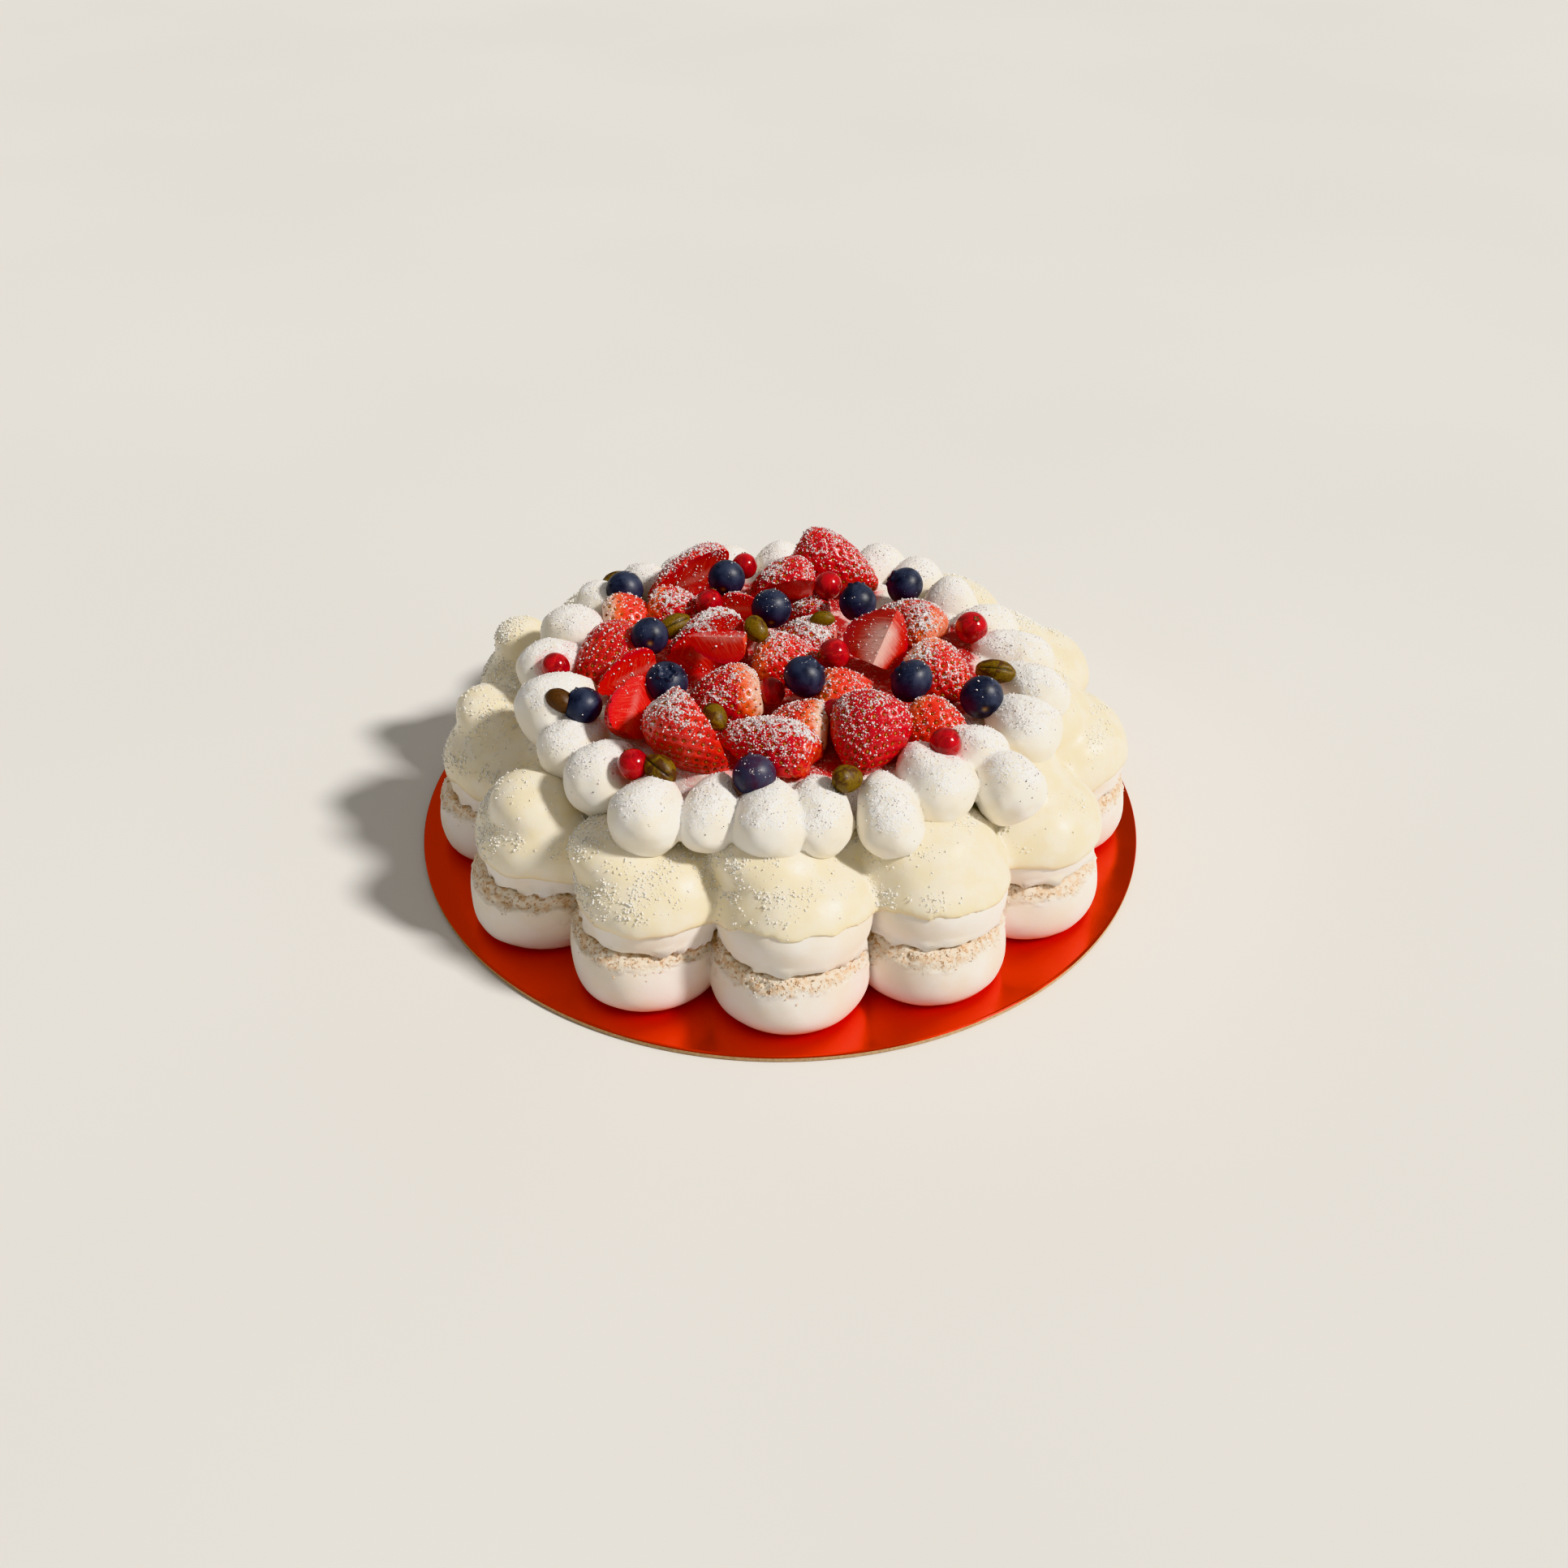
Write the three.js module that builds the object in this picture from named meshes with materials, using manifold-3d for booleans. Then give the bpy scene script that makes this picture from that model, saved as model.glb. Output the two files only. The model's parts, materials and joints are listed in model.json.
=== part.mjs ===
// A pavlova on its round foil card, in millimetres, +Z up.
//
// The origin is the middle of the card's underside. Two rings of fused meringue lobes
// stand base to base, the upper one under a white chocolate coat. A ring of piped cream
// sits on it and holds a bed of cream, and the fruit and the nuts lie on that bed.
// Heights in the tables are over the card's top. Turns go from +X (the right) towards
// +Y (the back), and a tilt above 0 raises the end that points that way.

import * as THREE from "three";
import { ParametricGeometry } from "three/addons/geometries/ParametricGeometry.js";
import { mergeVertices } from "three/addons/utils/BufferGeometryUtils.js";
import Module from "manifold-3d";

const wasm = await Module();
wasm.setup();

// ---------------------------------------------------------------- driving dimensions

const BOARD = { radius: 130, thickness: 2, sides: 60 };
const SEAT_GAP = 0.3; // left between any two pieces that touch

// Each tier is a flower of lobes. No two are alike: these are their sizes against the
// usual one, from the front lobe on round the right.
const LOBE_SIZES = [1.02, 1, 1, 1.02, 1, 0.97, 1, 0.96, 0.93, 0.9, 0.97, 1.01, 0.99];
const LOBES = LOBE_SIZES.length;
const FIRST_LOBE = -88.4;
const LOBE_STEP = 360 / LOBES;
const SECTIONS_PER_LOBE = 8;

const LOWER = {
  centre: [0, 0],
  ring: 98, // from the tier's centre to each lobe's own axis
  radius: 25.3,
  height: 23,
  waist: 9.5, // height of the widest section
  floor: 21, // radius of the flat that stands on the card
  base: 21, // radius of the flat base, which faces up
  coreRadius: 96,
  coreHeight: 23,
  coreRounding: 0, // radius of the core's upper edge
  spine: { radius: 93, height: 11 }, // where each section's rays start
  rays: 9,
};

const UPPER = {
  centre: [1.5, 0],
  ring: 95.4,
  radius: 24.5,
  height: 27,
  waist: 10,
  floor: 22,
  base: 0,
  coreRadius: 92,
  coreHeight: 30,
  coreRounding: 12,
  spine: { radius: 84, height: 15 },
  rays: 11,
};

const RAY = { longest: 60, step: 1, finest: 0.01, crowding: 1.4 };

// The second storey of smaller lobes, one on each upper lobe. A row holds its turn past
// that lobe's, the distance of its axis from the tier's centre, its radius, its half
// height and its middle's height over the tier's base.
const CAPS = [
  { shift: -5, ring: 89, radius: 17, half: 9.5, middle: 25 },
  { shift: 0, ring: 90, radius: 22, half: 13, middle: 21 },
  { shift: 0, ring: 80, radius: 24, half: 13, middle: 25 },
  { shift: 0, ring: 80, radius: 24, half: 13, middle: 25 },
  { shift: 0, ring: 80, radius: 22, half: 13, middle: 24 },
  { shift: 0, ring: 80, radius: 18, half: 11, middle: 23 },
  { shift: 0, ring: 80, radius: 18, half: 11, middle: 23 },
  { shift: 0, ring: 80, radius: 18, half: 11, middle: 23 },
  { shift: 0, ring: 80, radius: 17, half: 11, middle: 24 },
  { shift: 0, ring: 102, radius: 9.5, half: 8.5, middle: 27 },
  { shift: -2, ring: 102, radius: 11.5, half: 8.5, middle: 26 },
  { shift: 1, ring: 102, radius: 13, half: 8.5, middle: 25 },
  { shift: -6, ring: 100, radius: 14, half: 8.5, middle: 23 },
];

// The cream lies in a round seat, which is a little off the cake's axis.
const SEAT = { centre: [4, -8], radius: 80, sides: 39 };
const BED = { bottomRadius: 79.7, topRadius: 68, top: 64.5, sides: 26 };

// ---------------------------------------------------------------- small helpers

const radians = THREE.MathUtils.degToRad;

function polar(turn, radius, height = 0, [x, y] = [0, 0]) {
  const angle = radians(turn);
  return [x + radius * Math.cos(angle), y + radius * Math.sin(angle), height];
}

// A lathe solid about +Z. The profile runs from the axis, upwards, to the axis.
function turned(profile, sides) {
  const points = profile.map(([radius, height]) => new THREE.Vector2(radius, height));
  return new THREE.LatheGeometry(points, sides).rotateX(Math.PI / 2);
}

// A closed geometry as a solid that can be joined and cut.
function solidOf(geometry) {
  const weld = 1e-3;
  geometry.deleteAttribute("normal");
  geometry.deleteAttribute("uv");
  const welded = mergeVertices(geometry, weld);
  const corners = [];
  for (let i = 0; i < welded.index.count; i += 3) {
    const [a, b, c] = welded.index.array.slice(i, i + 3);
    if (a !== b && b !== c && c !== a) corners.push(a, b, c);
  }
  const mesh = new wasm.Mesh({
    numProp: 3,
    vertProperties: new Float32Array(welded.attributes.position.array),
    triVerts: Uint32Array.from(corners),
  });
  return new wasm.Manifold(mesh);
}

function join(solids) {
  return solids.reduce((whole, solid) => whole.add(solid));
}

function cut(solid, tools) {
  return tools.reduce((left, tool) => left.subtract(tool), solid);
}

// A disc, or a cone's slice, about the middle of the cream.
function disc(bottomRadius, topRadius, bottom, top, sides) {
  const profile = [[0, bottom], [bottomRadius, bottom], [topRadius, top], [0, top]];
  return solidOf(turned(profile, sides).translate(...SEAT.centre, 0));
}

const pavlova = new THREE.Group();

// Adds a solid to the cake as a named mesh, drawn in the frame that `place` gives.
function addPiece(name, solid, finish, place = new THREE.Object3D()) {
  place.updateMatrix();
  const { vertProperties, triVerts } = solid.getMesh();
  const corners = new THREE.BufferAttribute(new Float32Array(vertProperties), 3);
  const geometry = new THREE.BufferGeometry();
  geometry.setAttribute("position", corners);
  geometry.setIndex(new THREE.BufferAttribute(new Uint32Array(triVerts), 1));
  geometry.applyMatrix4(place.matrix.clone().invert());
  const mesh = new THREE.Mesh(geometry, new THREE.MeshStandardMaterial(finish));
  mesh.name = name;
  mesh.position.copy(place.position);
  mesh.quaternion.copy(place.quaternion);
  pavlova.add(mesh);
}

// ---------------------------------------------------------------- card and meringue

function makeBoard() {
  const { radius, thickness, sides } = BOARD;
  const profile = [[0, 0], [radius, 0], [radius, thickness], [0, thickness]];
  return solidOf(turned(profile, sides));
}

// Tests of whether a point lies in a lobe, which is flat below out to `floor`, widest at
// `waist` and flat above out to `base`, and in a small lobe, which is an ellipsoid.
function lobeTest({ centre, ring, radius, height, waist, floor, base }, lobe) {
  const [atX, atY] = polar(FIRST_LOBE + lobe * LOBE_STEP, ring, 0, centre);
  return (x, y, z) => {
    const above = z > waist;
    const edge = above ? base : floor;
    const off = (z - waist) / (above ? height - waist : waist);
    if (Math.abs(off) > 1) return false;
    const reach = edge + (radius - edge) * Math.sqrt(1 - off * off);
    return Math.hypot(x - atX, y - atY) < reach * LOBE_SIZES[lobe];
  };
}

function capTest({ shift, ring, radius, half, middle }, lobe, centre) {
  const [atX, atY] = polar(FIRST_LOBE + lobe * LOBE_STEP + shift, ring, 0, centre);
  return (x, y, z) => Math.hypot((x - atX) / radius, (y - atY) / radius, (z - middle) / half) < 1;
}

// One tier as a closed skin round its fused lobes. Each section through its axis is
// found by rays from a point inside it, from straight down to straight up, and joined
// to the axis below and above. The sections crowd towards the creases between lobes,
// and the rays towards the level.
function makeTier(tier, tests, bottom) {
  const { centre, spine, coreRadius, coreHeight, coreRounding, rays } = tier;
  const inCore = (x, y, z) => {
    const out = Math.max(Math.hypot(x, y) - coreRadius + coreRounding, 0);
    const up = Math.max(z - coreHeight + coreRounding, 0);
    return Math.hypot(out, up) <= coreRounding;
  };
  const isFood = (x, y, z) => z > 0 && (inCore(x, y, z) || tests.some((test) => test(x, y, z)));
  const rayEnd = (turn, rise, reach) => {
    const out = spine.radius + reach * Math.cos(rise);
    return polar(turn, out, spine.height + reach * Math.sin(rise), centre);
  };
  const surfacePoint = (turn, rise) => {
    let reach = RAY.longest;
    while (!isFood(...rayEnd(turn, rise, reach))) reach -= RAY.step;
    for (let step = RAY.step / 2; step > RAY.finest; step /= 2) {
      if (isFood(...rayEnd(turn, rise, reach + step))) reach += step;
    }
    return rayEnd(turn, rise, reach);
  };
  const stacks = rays + 1;
  const skin = (u, v, target) => {
    const lobe = Math.min(Math.floor(u * LOBES), LOBES - 1);
    const across = Math.sin((u * LOBES - lobe - 0.5) * Math.PI) / 2;
    const turn = FIRST_LOBE + (lobe + across) * LOBE_STEP;
    const ray = Math.round(v * stacks);
    const level = (2 * (ray - 1)) / (rays - 1) - 1;
    const rise = (Math.PI / 2) * Math.sign(level) * Math.abs(level) ** RAY.crowding;
    if (ray === 0) target.set(...centre, 0);
    else if (ray === stacks) target.set(...centre, coreHeight);
    else target.set(...surfacePoint(turn, rise));
  };
  const surface = new ParametricGeometry(skin, LOBES * SECTIONS_PER_LOBE, stacks);
  return solidOf(surface.translate(0, 0, bottom));
}

const lowerBottom = BOARD.thickness + SEAT_GAP;
const upperBottom = lowerBottom + LOWER.height + SEAT_GAP;
const seatHeight = upperBottom + UPPER.coreHeight;

function makeLowerMeringue() {
  return makeTier(LOWER, LOBE_SIZES.map((_, lobe) => lobeTest(LOWER, lobe)), lowerBottom);
}

// The upper tier, with a round seat sunk in its top for the cream.
function makeUpperMeringue(grow = 0) {
  const tier = { ...UPPER };
  for (const size of ["radius", "height", "coreHeight"]) tier[size] += grow;
  const lobes = LOBE_SIZES.map((_, lobe) => lobeTest(tier, lobe));
  const caps = CAPS.map((cap, lobe) => {
    const grown = { ...cap, radius: cap.radius + grow, half: cap.half + grow };
    return capTest(grown, lobe, tier.centre);
  });
  const radius = SEAT.radius - grow;
  const above = upperBottom + 2 * UPPER.height;
  const seat = disc(radius, radius, seatHeight + grow, above, SEAT.sides);
  return makeTier(tier, [...lobes, ...caps], upperBottom).subtract(seat);
}

// ---------------------------------------------------------------- rounded bodies

// How each kind is made and looks. A `blunt` above 0 fattens the end at -X, and below 0
// the end at +X, which is the one that a row's turn and tilt point.
const KINDS = {
  cream: { sides: 10, steps: 5, blunt: -0.2 },
  blueberry: { sides: 8, steps: 5, blunt: 0, color: 0x1d2540, roughness: 0.5 },
  redcurrant: { sides: 7, steps: 4, blunt: 0, color: 0x9c0f1b, roughness: 0.15 },
  pistachio: { sides: 6, steps: 4, blunt: 0.1, color: 0x6e5f1c, roughness: 0.55 },
  strawberry: { sides: 9, steps: 5, blunt: 0.3, color: 0xc4161a, roughness: 0.35 },
};

// A body about its own long axis, which runs along +X.
function makeBody({ sides, steps, blunt }, length, width) {
  const profile = [];
  for (let i = 0; i <= steps; i += 1) {
    const angle = (Math.PI * i) / steps;
    const along = -Math.cos(angle);
    const swell = Math.sin(angle) * (1 - blunt * along);
    profile.push([(swell * width) / 2, (along * length) / 2]);
  }
  return solidOf(turned(profile, sides).rotateY(Math.PI / 2));
}

// The planes that a knife leaves all hold the long axis, and a roll of 0 puts the skin
// up. `sunk` is how much of the width the middle of what is left lies above that axis.
const CUTS = {
  whole: { planes: [], sunk: 0 },
  half: { planes: [0], sunk: 0.24 },
  quarter: { planes: [-45, 45], sunk: 0.3 },
};

function slice(body, planes, length, grow) {
  const blocks = planes.map((degrees) => {
    const block = new THREE.BoxGeometry(2 * length, 2 * length, length);
    block.translate(0, 0, -length / 2 - grow).rotateX(radians(degrees));
    return solidOf(block);
  });
  return cut(body, blocks);
}

// A row holds a piece's middle (x, y, z), its length and its width, its turn and its
// tilt, its roll about its own axis, and how it was cut.
function placeOf([x, y, z, , width, turn, tilt, roll = 0, cutName = "whole"]) {
  const place = new THREE.Object3D();
  place.rotation.set(radians(roll), -radians(tilt), radians(turn), "ZYX");
  place.position.set(0, 0, -CUTS[cutName].sunk * width).applyEuler(place.rotation);
  place.position.add(new THREE.Vector3(x, y, z + BOARD.thickness));
  place.updateMatrix();
  return place;
}

function makePiece(kind, row, grow = 0) {
  const [, , , length, width, , , , cutName = "whole"] = row;
  const body = makeBody(KINDS[kind], length + 2 * grow, width + 2 * grow);
  const left = slice(body, CUTS[cutName].planes, length, grow);
  return left.transform(placeOf(row).matrix.elements);
}

// ---------------------------------------------------------------- cream

// The piped blobs, from the front round the right. Their fat ends hang down outwards.
const BLOBS = [
  [-3, -88, 61, 27, 24, 266, -30],
  [12, -85, 61, 28, 20, 277, -28],
  [33, -85, 61, 30, 20, 282, -28],
  [48, -72, 63, 30, 24, 305, -26],
  [72, -70, 61, 25, 22, 300, -25],
  [61, -57, 65, 26, 18, 330, -10],
  [79, -43, 64, 27, 23, 318, -20],
  [85, -20, 64, 28, 19, 330, -15],
  [81, 3, 63, 30, 18, 350, -12],
  [73, 22, 62, 26, 18, 10, -10],
  [62, 37, 63, 21, 20, 30, 0],
  [50, 55, 62, 24, 20, 48, -8],
  [36, 63, 62, 24, 20, 62, -8],
  [18, 66, 61, 24, 20, 77, -8],
  [0, 67, 61, 24, 20, 92, -8],
  [-18, 64, 61, 24, 20, 106, -8],
  [-34, 58, 61, 24, 20, 118, -8],
  [-49, 50, 62, 23, 20, 132, -8],
  [-63, 36, 63, 25, 20, 150, -10],
  [-72, 17, 63, 27, 22, 166, -12],
  [-77, -6, 64, 27, 21, 182, -14],
  [-73, -33, 65, 29, 26, 208, -20],
  [-67, -49, 61, 26, 20, 217, -25],
  [-56, -65, 61, 27, 23, 229, -26],
  [-41, -85, 61, 27, 23, 243, -28],
  [-21, -84, 61, 28, 19, 255, -28],
];

// The bed is a low cone's slice, and the ring's blobs hide its edge.
function makeCream() {
  const { bottomRadius, topRadius, top, sides } = BED;
  const blobs = BLOBS.map((row) => makePiece("cream", row));
  const bottom = seatHeight + SEAT_GAP;
  return join([...blobs, disc(bottomRadius, topRadius, bottom, BOARD.thickness + top, sides)]);
}

// ---------------------------------------------------------------- fruit and nuts

const FRUIT = {
  blueberry: [
    [-56, 34, 72, 13.5, 13.5, 100, 10],
    [-19, 28, 80, 12.8, 13.3, 80, 10],
    [-3, 7, 80, 13.2, 14, 90, 20],
    [27, 11, 80, 13.6, 13, 100, 50],
    [45, 33, 74, 12.6, 13.5, 170, 30],
    [-44, -11, 80, 12.4, 12.8, 95, -7],
    [-37, -38, 79, 12.6, 14.2, 280, 65],
    [-64, -43, 73, 12, 12.8, 160, 40],
    [8, -35, 79, 13.2, 14.3, 30, 40],
    [43, -36, 78, 13, 14.9, 150, 30],
    [66, -38, 73, 13.6, 14.4, 95, 5],
    [-8, -80, 72, 13, 13.6, 100, 20],
  ],
  redcurrant: [
    [-13, 44, 76, 9.5, 9.5, 90, 40],
    [17, 23, 80, 10, 10, 80, 20],
    [-25, 18, 76, 9.7, 9.7, 60, 50],
    [18, -18, 77, 10.6, 10.9, 200, 10],
    [-76, -16, 71, 9.6, 9.9, 240, -20],
    [-46, -73, 71, 10, 10.2, 120, 40],
    [-3, -33, 72, 9.6, 9.6, 90, 30],
    [18, -49, 74, 10, 10, 30, 30],
    [67, 9, 71, 11, 11.6, 300, 62],
    [52, -66, 74, 10.2, 10.5, 40, 30],
  ],
  pistachio: [
    [-59, 45, 69, 14, 8, 175, 5],
    [-36, 6, 74, 13, 8, 30, 10],
    [-8, -9, 81, 10.5, 7.6, 300, -20],
    [15, 1, 79.5, 8.5, 5.5, 350, 10],
    [-21, -53, 75, 10.5, 8, 290, -10],
    [-72, -42, 75, 11, 7.5, 150, 10],
    [-37, -76, 71, 12, 8.6, 320, -15],
    [73, -21, 72, 13.6, 8, 348, 0],
    [20, -82, 72, 11.5, 8.6, 230, 25],
  ],
  strawberry: [
    [-34, 43, 75, 36, 21, 205, -14, 70, "half"],
    [1, 37, 75, 26, 24, 190, 0, 50, "half"],
    [20, 47, 75, 36, 20, 340, -22, 0, "whole"],
    [-54, 21, 71, 22, 20, 5, 0, 0, "half"],
    [-37, 22, 73, 23, 17, 345, -5, 15, "half"],
    [-59, -8, 73, 30, 27, 215, -12, 10, "half"],
    [-51, -24, 73.5, 24, 14, 206, -14, 105, "half"],
    [-49.5, -46, 74, 23, 16.5, 73, 34, 228, "half"],
    [-32.4, -61.8, 72.2, 34.6, 31, 323, -43, 113, "half"],
    [-18, -33, 73, 27, 23, 190, -5, 350, "half"],
    [-26, -3, 73, 31, 25, 200, -8, 90, "half"],
    [-20, -18, 81, 22, 17, 170, -5, 150, "quarter"],
    [-14, 20, 74, 16, 12, 0, 0, 270, "half"],
    [11, 20, 73, 16, 14, 180, 0, 0, "half"],
    [9, 2, 74, 24, 19, 170, 0, 0, "half"],
    [2, -12, 74, 26, 20, 350, 0, 10, "half"],
    [34, -8, 77.5, 22, 30, 47, 54, 222, "quarter"],
    [46.5, 13, 73.5, 29, 20, 145, 3, 0, "half"],
    [54, -19, 73, 27, 23, 320, -10, 0, "half"],
    [23, -34, 73, 26, 21, 0, -5, 0, "half"],
    [28, -59, 73, 28, 25, 250, -30, 0, "whole"],
    [-3, -61, 73, 38, 22, 154, 3, 0, "half"],
    [6, -51, 73, 24, 22, 170, 0, 0, "half"],
    [51, -49, 72, 23, 20, 330, -5, 5, "half"],
  ],
};

// Lays each piece on the bed, clear of those laid before it, and gives back the room
// that the pieces take above the bed.
function addFruit() {
  const { topRadius, sides } = BED;
  const bedTop = BOARD.thickness + BED.top;
  const bed = disc(topRadius, topRadius, seatHeight, bedTop, sides);
  const bedAndGap = disc(topRadius, topRadius, seatHeight, bedTop + SEAT_GAP, sides);
  const taken = [];
  for (const [kind, rows] of Object.entries(FRUIT)) {
    const { color, roughness } = KINDS[kind];
    rows.forEach((row, index) => {
      const number = String(index + 1).padStart(2, "0");
      const solid = cut(makePiece(kind, row), [bedAndGap, ...taken]);
      addPiece(`${kind}_${number}`, solid, { color, roughness }, placeOf(row));
      taken.push(makePiece(kind, row, SEAT_GAP).subtract(bed));
    });
  }
  return taken;
}

// ---------------------------------------------------------------- the cake

addPiece("cake_board", makeBoard(), { color: 0xc8260a, roughness: 0.2, metalness: 0.7 });
addPiece("lower_meringue", makeLowerMeringue(), { color: 0xf2ead9, roughness: 0.7 });
addPiece("upper_meringue", makeUpperMeringue(), { color: 0xf3e8c6, roughness: 0.35 });

const taken = addFruit();
const cream = cut(makeCream(), [makeUpperMeringue(SEAT_GAP), ...taken]);
addPiece("whipped_cream", cream, { color: 0xf6f2ec, roughness: 0.6 });

export default pavlova;
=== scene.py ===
"""A pavlova: two tiers of fused meringue lobes, piped cream, fruit and nuts on a foil card.

Lengths in the tables are millimetres in the part's own frame: the origin is the middle of
the card's underside, +Z is up and -Y is the front. Heights of a tier's lobes and coat are
over the tier's base, those of blobs, fruit and nuts over the card's top and all others over
the ground. Turns and tilts are degrees. Blender's own units are metres.
"""

import itertools
import json
import math

import bmesh
import bpy
import numpy as np
from bpy.props import FloatProperty, FloatVectorProperty, IntProperty, PointerProperty
from mathutils import Euler, Matrix, Vector

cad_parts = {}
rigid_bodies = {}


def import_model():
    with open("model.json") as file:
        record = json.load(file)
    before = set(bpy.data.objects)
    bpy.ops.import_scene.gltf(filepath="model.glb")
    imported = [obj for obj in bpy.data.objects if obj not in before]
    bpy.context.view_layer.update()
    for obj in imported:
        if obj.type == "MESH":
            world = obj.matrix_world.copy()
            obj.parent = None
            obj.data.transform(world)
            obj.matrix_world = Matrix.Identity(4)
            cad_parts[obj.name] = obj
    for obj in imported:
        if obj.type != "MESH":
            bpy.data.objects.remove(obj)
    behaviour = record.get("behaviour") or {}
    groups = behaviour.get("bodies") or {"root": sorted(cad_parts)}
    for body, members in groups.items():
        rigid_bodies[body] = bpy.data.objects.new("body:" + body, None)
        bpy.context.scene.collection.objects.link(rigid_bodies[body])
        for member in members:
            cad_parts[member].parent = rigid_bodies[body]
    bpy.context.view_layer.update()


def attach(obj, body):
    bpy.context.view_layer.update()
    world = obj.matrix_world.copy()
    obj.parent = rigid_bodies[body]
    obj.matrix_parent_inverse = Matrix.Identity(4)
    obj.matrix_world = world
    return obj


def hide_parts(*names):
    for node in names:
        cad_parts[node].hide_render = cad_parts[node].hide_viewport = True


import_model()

bl_info = {
    "name": "Pavlova",
    "version": (1, 0, 0),
    "blender": (4, 5, 0),
    "location": "3D View > Sidebar > Pavlova",
    "description": "Dresses the packed solids of a pavlova with meringue, cream and fruit",
    "category": "Add Mesh",
}

MM = 0.001

# ------------------------------------------------------------------ the cake's own sizes

# The card's outline is radii and heights from its underside round its rim to its top.
CARD = {
    "thickness": 2,
    "foil_from": 1.75,
    "sides": 240,
    "outline": [
        (60, 0),
        (129.6, 0),
        (130, 0.3),
        (130, 1.6),
        (129.7, 1.92),
        (129.2, 2),
        (128.8, 2),
        (60, 2),
    ],
}
SEAT_GAP = 0.3

# The lobes' sizes against the usual one, from the front lobe on round the right.
LOBE_SIZES = np.array([1.02, 1, 1, 1.02, 1, 0.97, 1, 0.96, 0.93, 0.9, 0.97, 1.01, 0.99])
LOBES = len(LOBE_SIZES)
FIRST_LOBE = math.radians(-88.4)
LOBE_STEP = 2 * math.pi / LOBES

# A tier's lobes stand with their axes on a ring. Each is widest at its waist and may be
# flat below and above. The core is a disc: its radius, height and rounded edge. Rays to
# the skin start from the spine, a ring with this radius and height.
LOWER = {
    "centre": (0, 0),
    "ring": 98,
    "radius": 25.3,
    "height": 23,
    "waist": 9.5,
    "flat_below": 21,
    "flat_above": 21,
    "core": (96, 23, 0),
    "spine": (93, 11),
    "bottom": CARD["thickness"] + SEAT_GAP,
}
UPPER = {
    "centre": (1.5, 0),
    "ring": 95.4,
    "radius": 24.5,
    "height": 27,
    "waist": 10,
    "flat_below": 22,
    "flat_above": 0,
    "core": (92, 30, 12),
    "spine": (84, 15),
    "bottom": LOWER["bottom"] + LOWER["height"] + SEAT_GAP,
}

# The smaller lobe on each upper one: its turn past that lobe's in degrees, the distance
# of its axis from the tier's centre, its radius, half height and middle's height.
CAPS = np.array(
    [
        (-5, 89, 17, 9.5, 25),
        (0, 90, 22, 13, 21),
        (0, 80, 24, 13, 25),
        (0, 80, 24, 13, 25),
        (0, 80, 22, 13, 24),
        (0, 80, 18, 11, 23),
        (0, 80, 18, 11, 23),
        (0, 80, 18, 11, 23),
        (0, 80, 17, 11, 24),
        (0, 102, 9.5, 8.5, 27),
        (-2, 102, 11.5, 8.5, 26),
        (1, 102, 13, 8.5, 25),
        (-6, 100, 14, 8.5, 23),
    ]
)

# How far down each upper lobe the white chocolate runs, as a height over the tier's base.
COAT_EDGES = np.array([15, 12.5, 6.5, 7, 7, 7, 7, 7, 7, 7, 6.5, 6, 8])

# The coat and the cream are made in boxes of cubic cells, coarser ones in a quick build.
COAT = {
    "thickness": 0.9,
    "web": 4.5,
    "crease": 1.2,
    "inner_radius": 76,
    "edge_radius": 115,
    "lip": 1.6,
    "box": ((-124, -124, 1), (126, 124, 41)),
    "cell": 1.25,
    "quick_cell": 2.2,
}
CREAM = {
    "crease": 0.7,
    "blunt": -0.25,
    "box": ((-104, -118, 51), (108, 86, 84)),
    "cell": 0.95,
    "quick_cell": 1.6,
}
BED = {"centre": (4, -8), "bottom": 55.9, "top": 66.5, "radius": 79.7, "top_radius": 68}

# Piped blobs of cream: middle (x, y, z), length, width, turn and tilt. The fat end, which
# the turn and tilt point, hangs down outwards.
BLOBS = [
    (-3, -88, 61, 27, 24, 266, -30),
    (12, -85, 61, 28, 20, 277, -28),
    (33, -85, 61, 30, 20, 282, -28),
    (48, -72, 63, 30, 24, 305, -26),
    (72, -70, 61, 25, 22, 300, -25),
    (61, -57, 65, 26, 18, 330, -10),
    (79, -43, 64, 27, 23, 318, -20),
    (85, -20, 64, 28, 19, 330, -15),
    (81, 3, 63, 30, 18, 350, -12),
    (73, 22, 62, 26, 18, 10, -10),
    (62, 37, 63, 21, 20, 30, 0),
    (50, 55, 62, 24, 20, 48, -8),
    (36, 63, 62, 24, 20, 62, -8),
    (18, 66, 61, 24, 20, 77, -8),
    (0, 67, 61, 24, 20, 92, -8),
    (-18, 64, 61, 24, 20, 106, -8),
    (-34, 58, 61, 24, 20, 118, -8),
    (-49, 50, 62, 23, 20, 132, -8),
    (-63, 36, 63, 25, 20, 150, -10),
    (-72, 17, 63, 27, 22, 166, -12),
    (-77, -6, 64, 27, 21, 182, -14),
    (-73, -33, 65, 29, 26, 208, -20),
    (-67, -49, 61, 26, 20, 217, -25),
    (-56, -65, 61, 27, 23, 229, -26),
    (-41, -85, 61, 27, 23, 243, -28),
    (-21, -84, 61, 28, 19, 255, -28),
]

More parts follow.
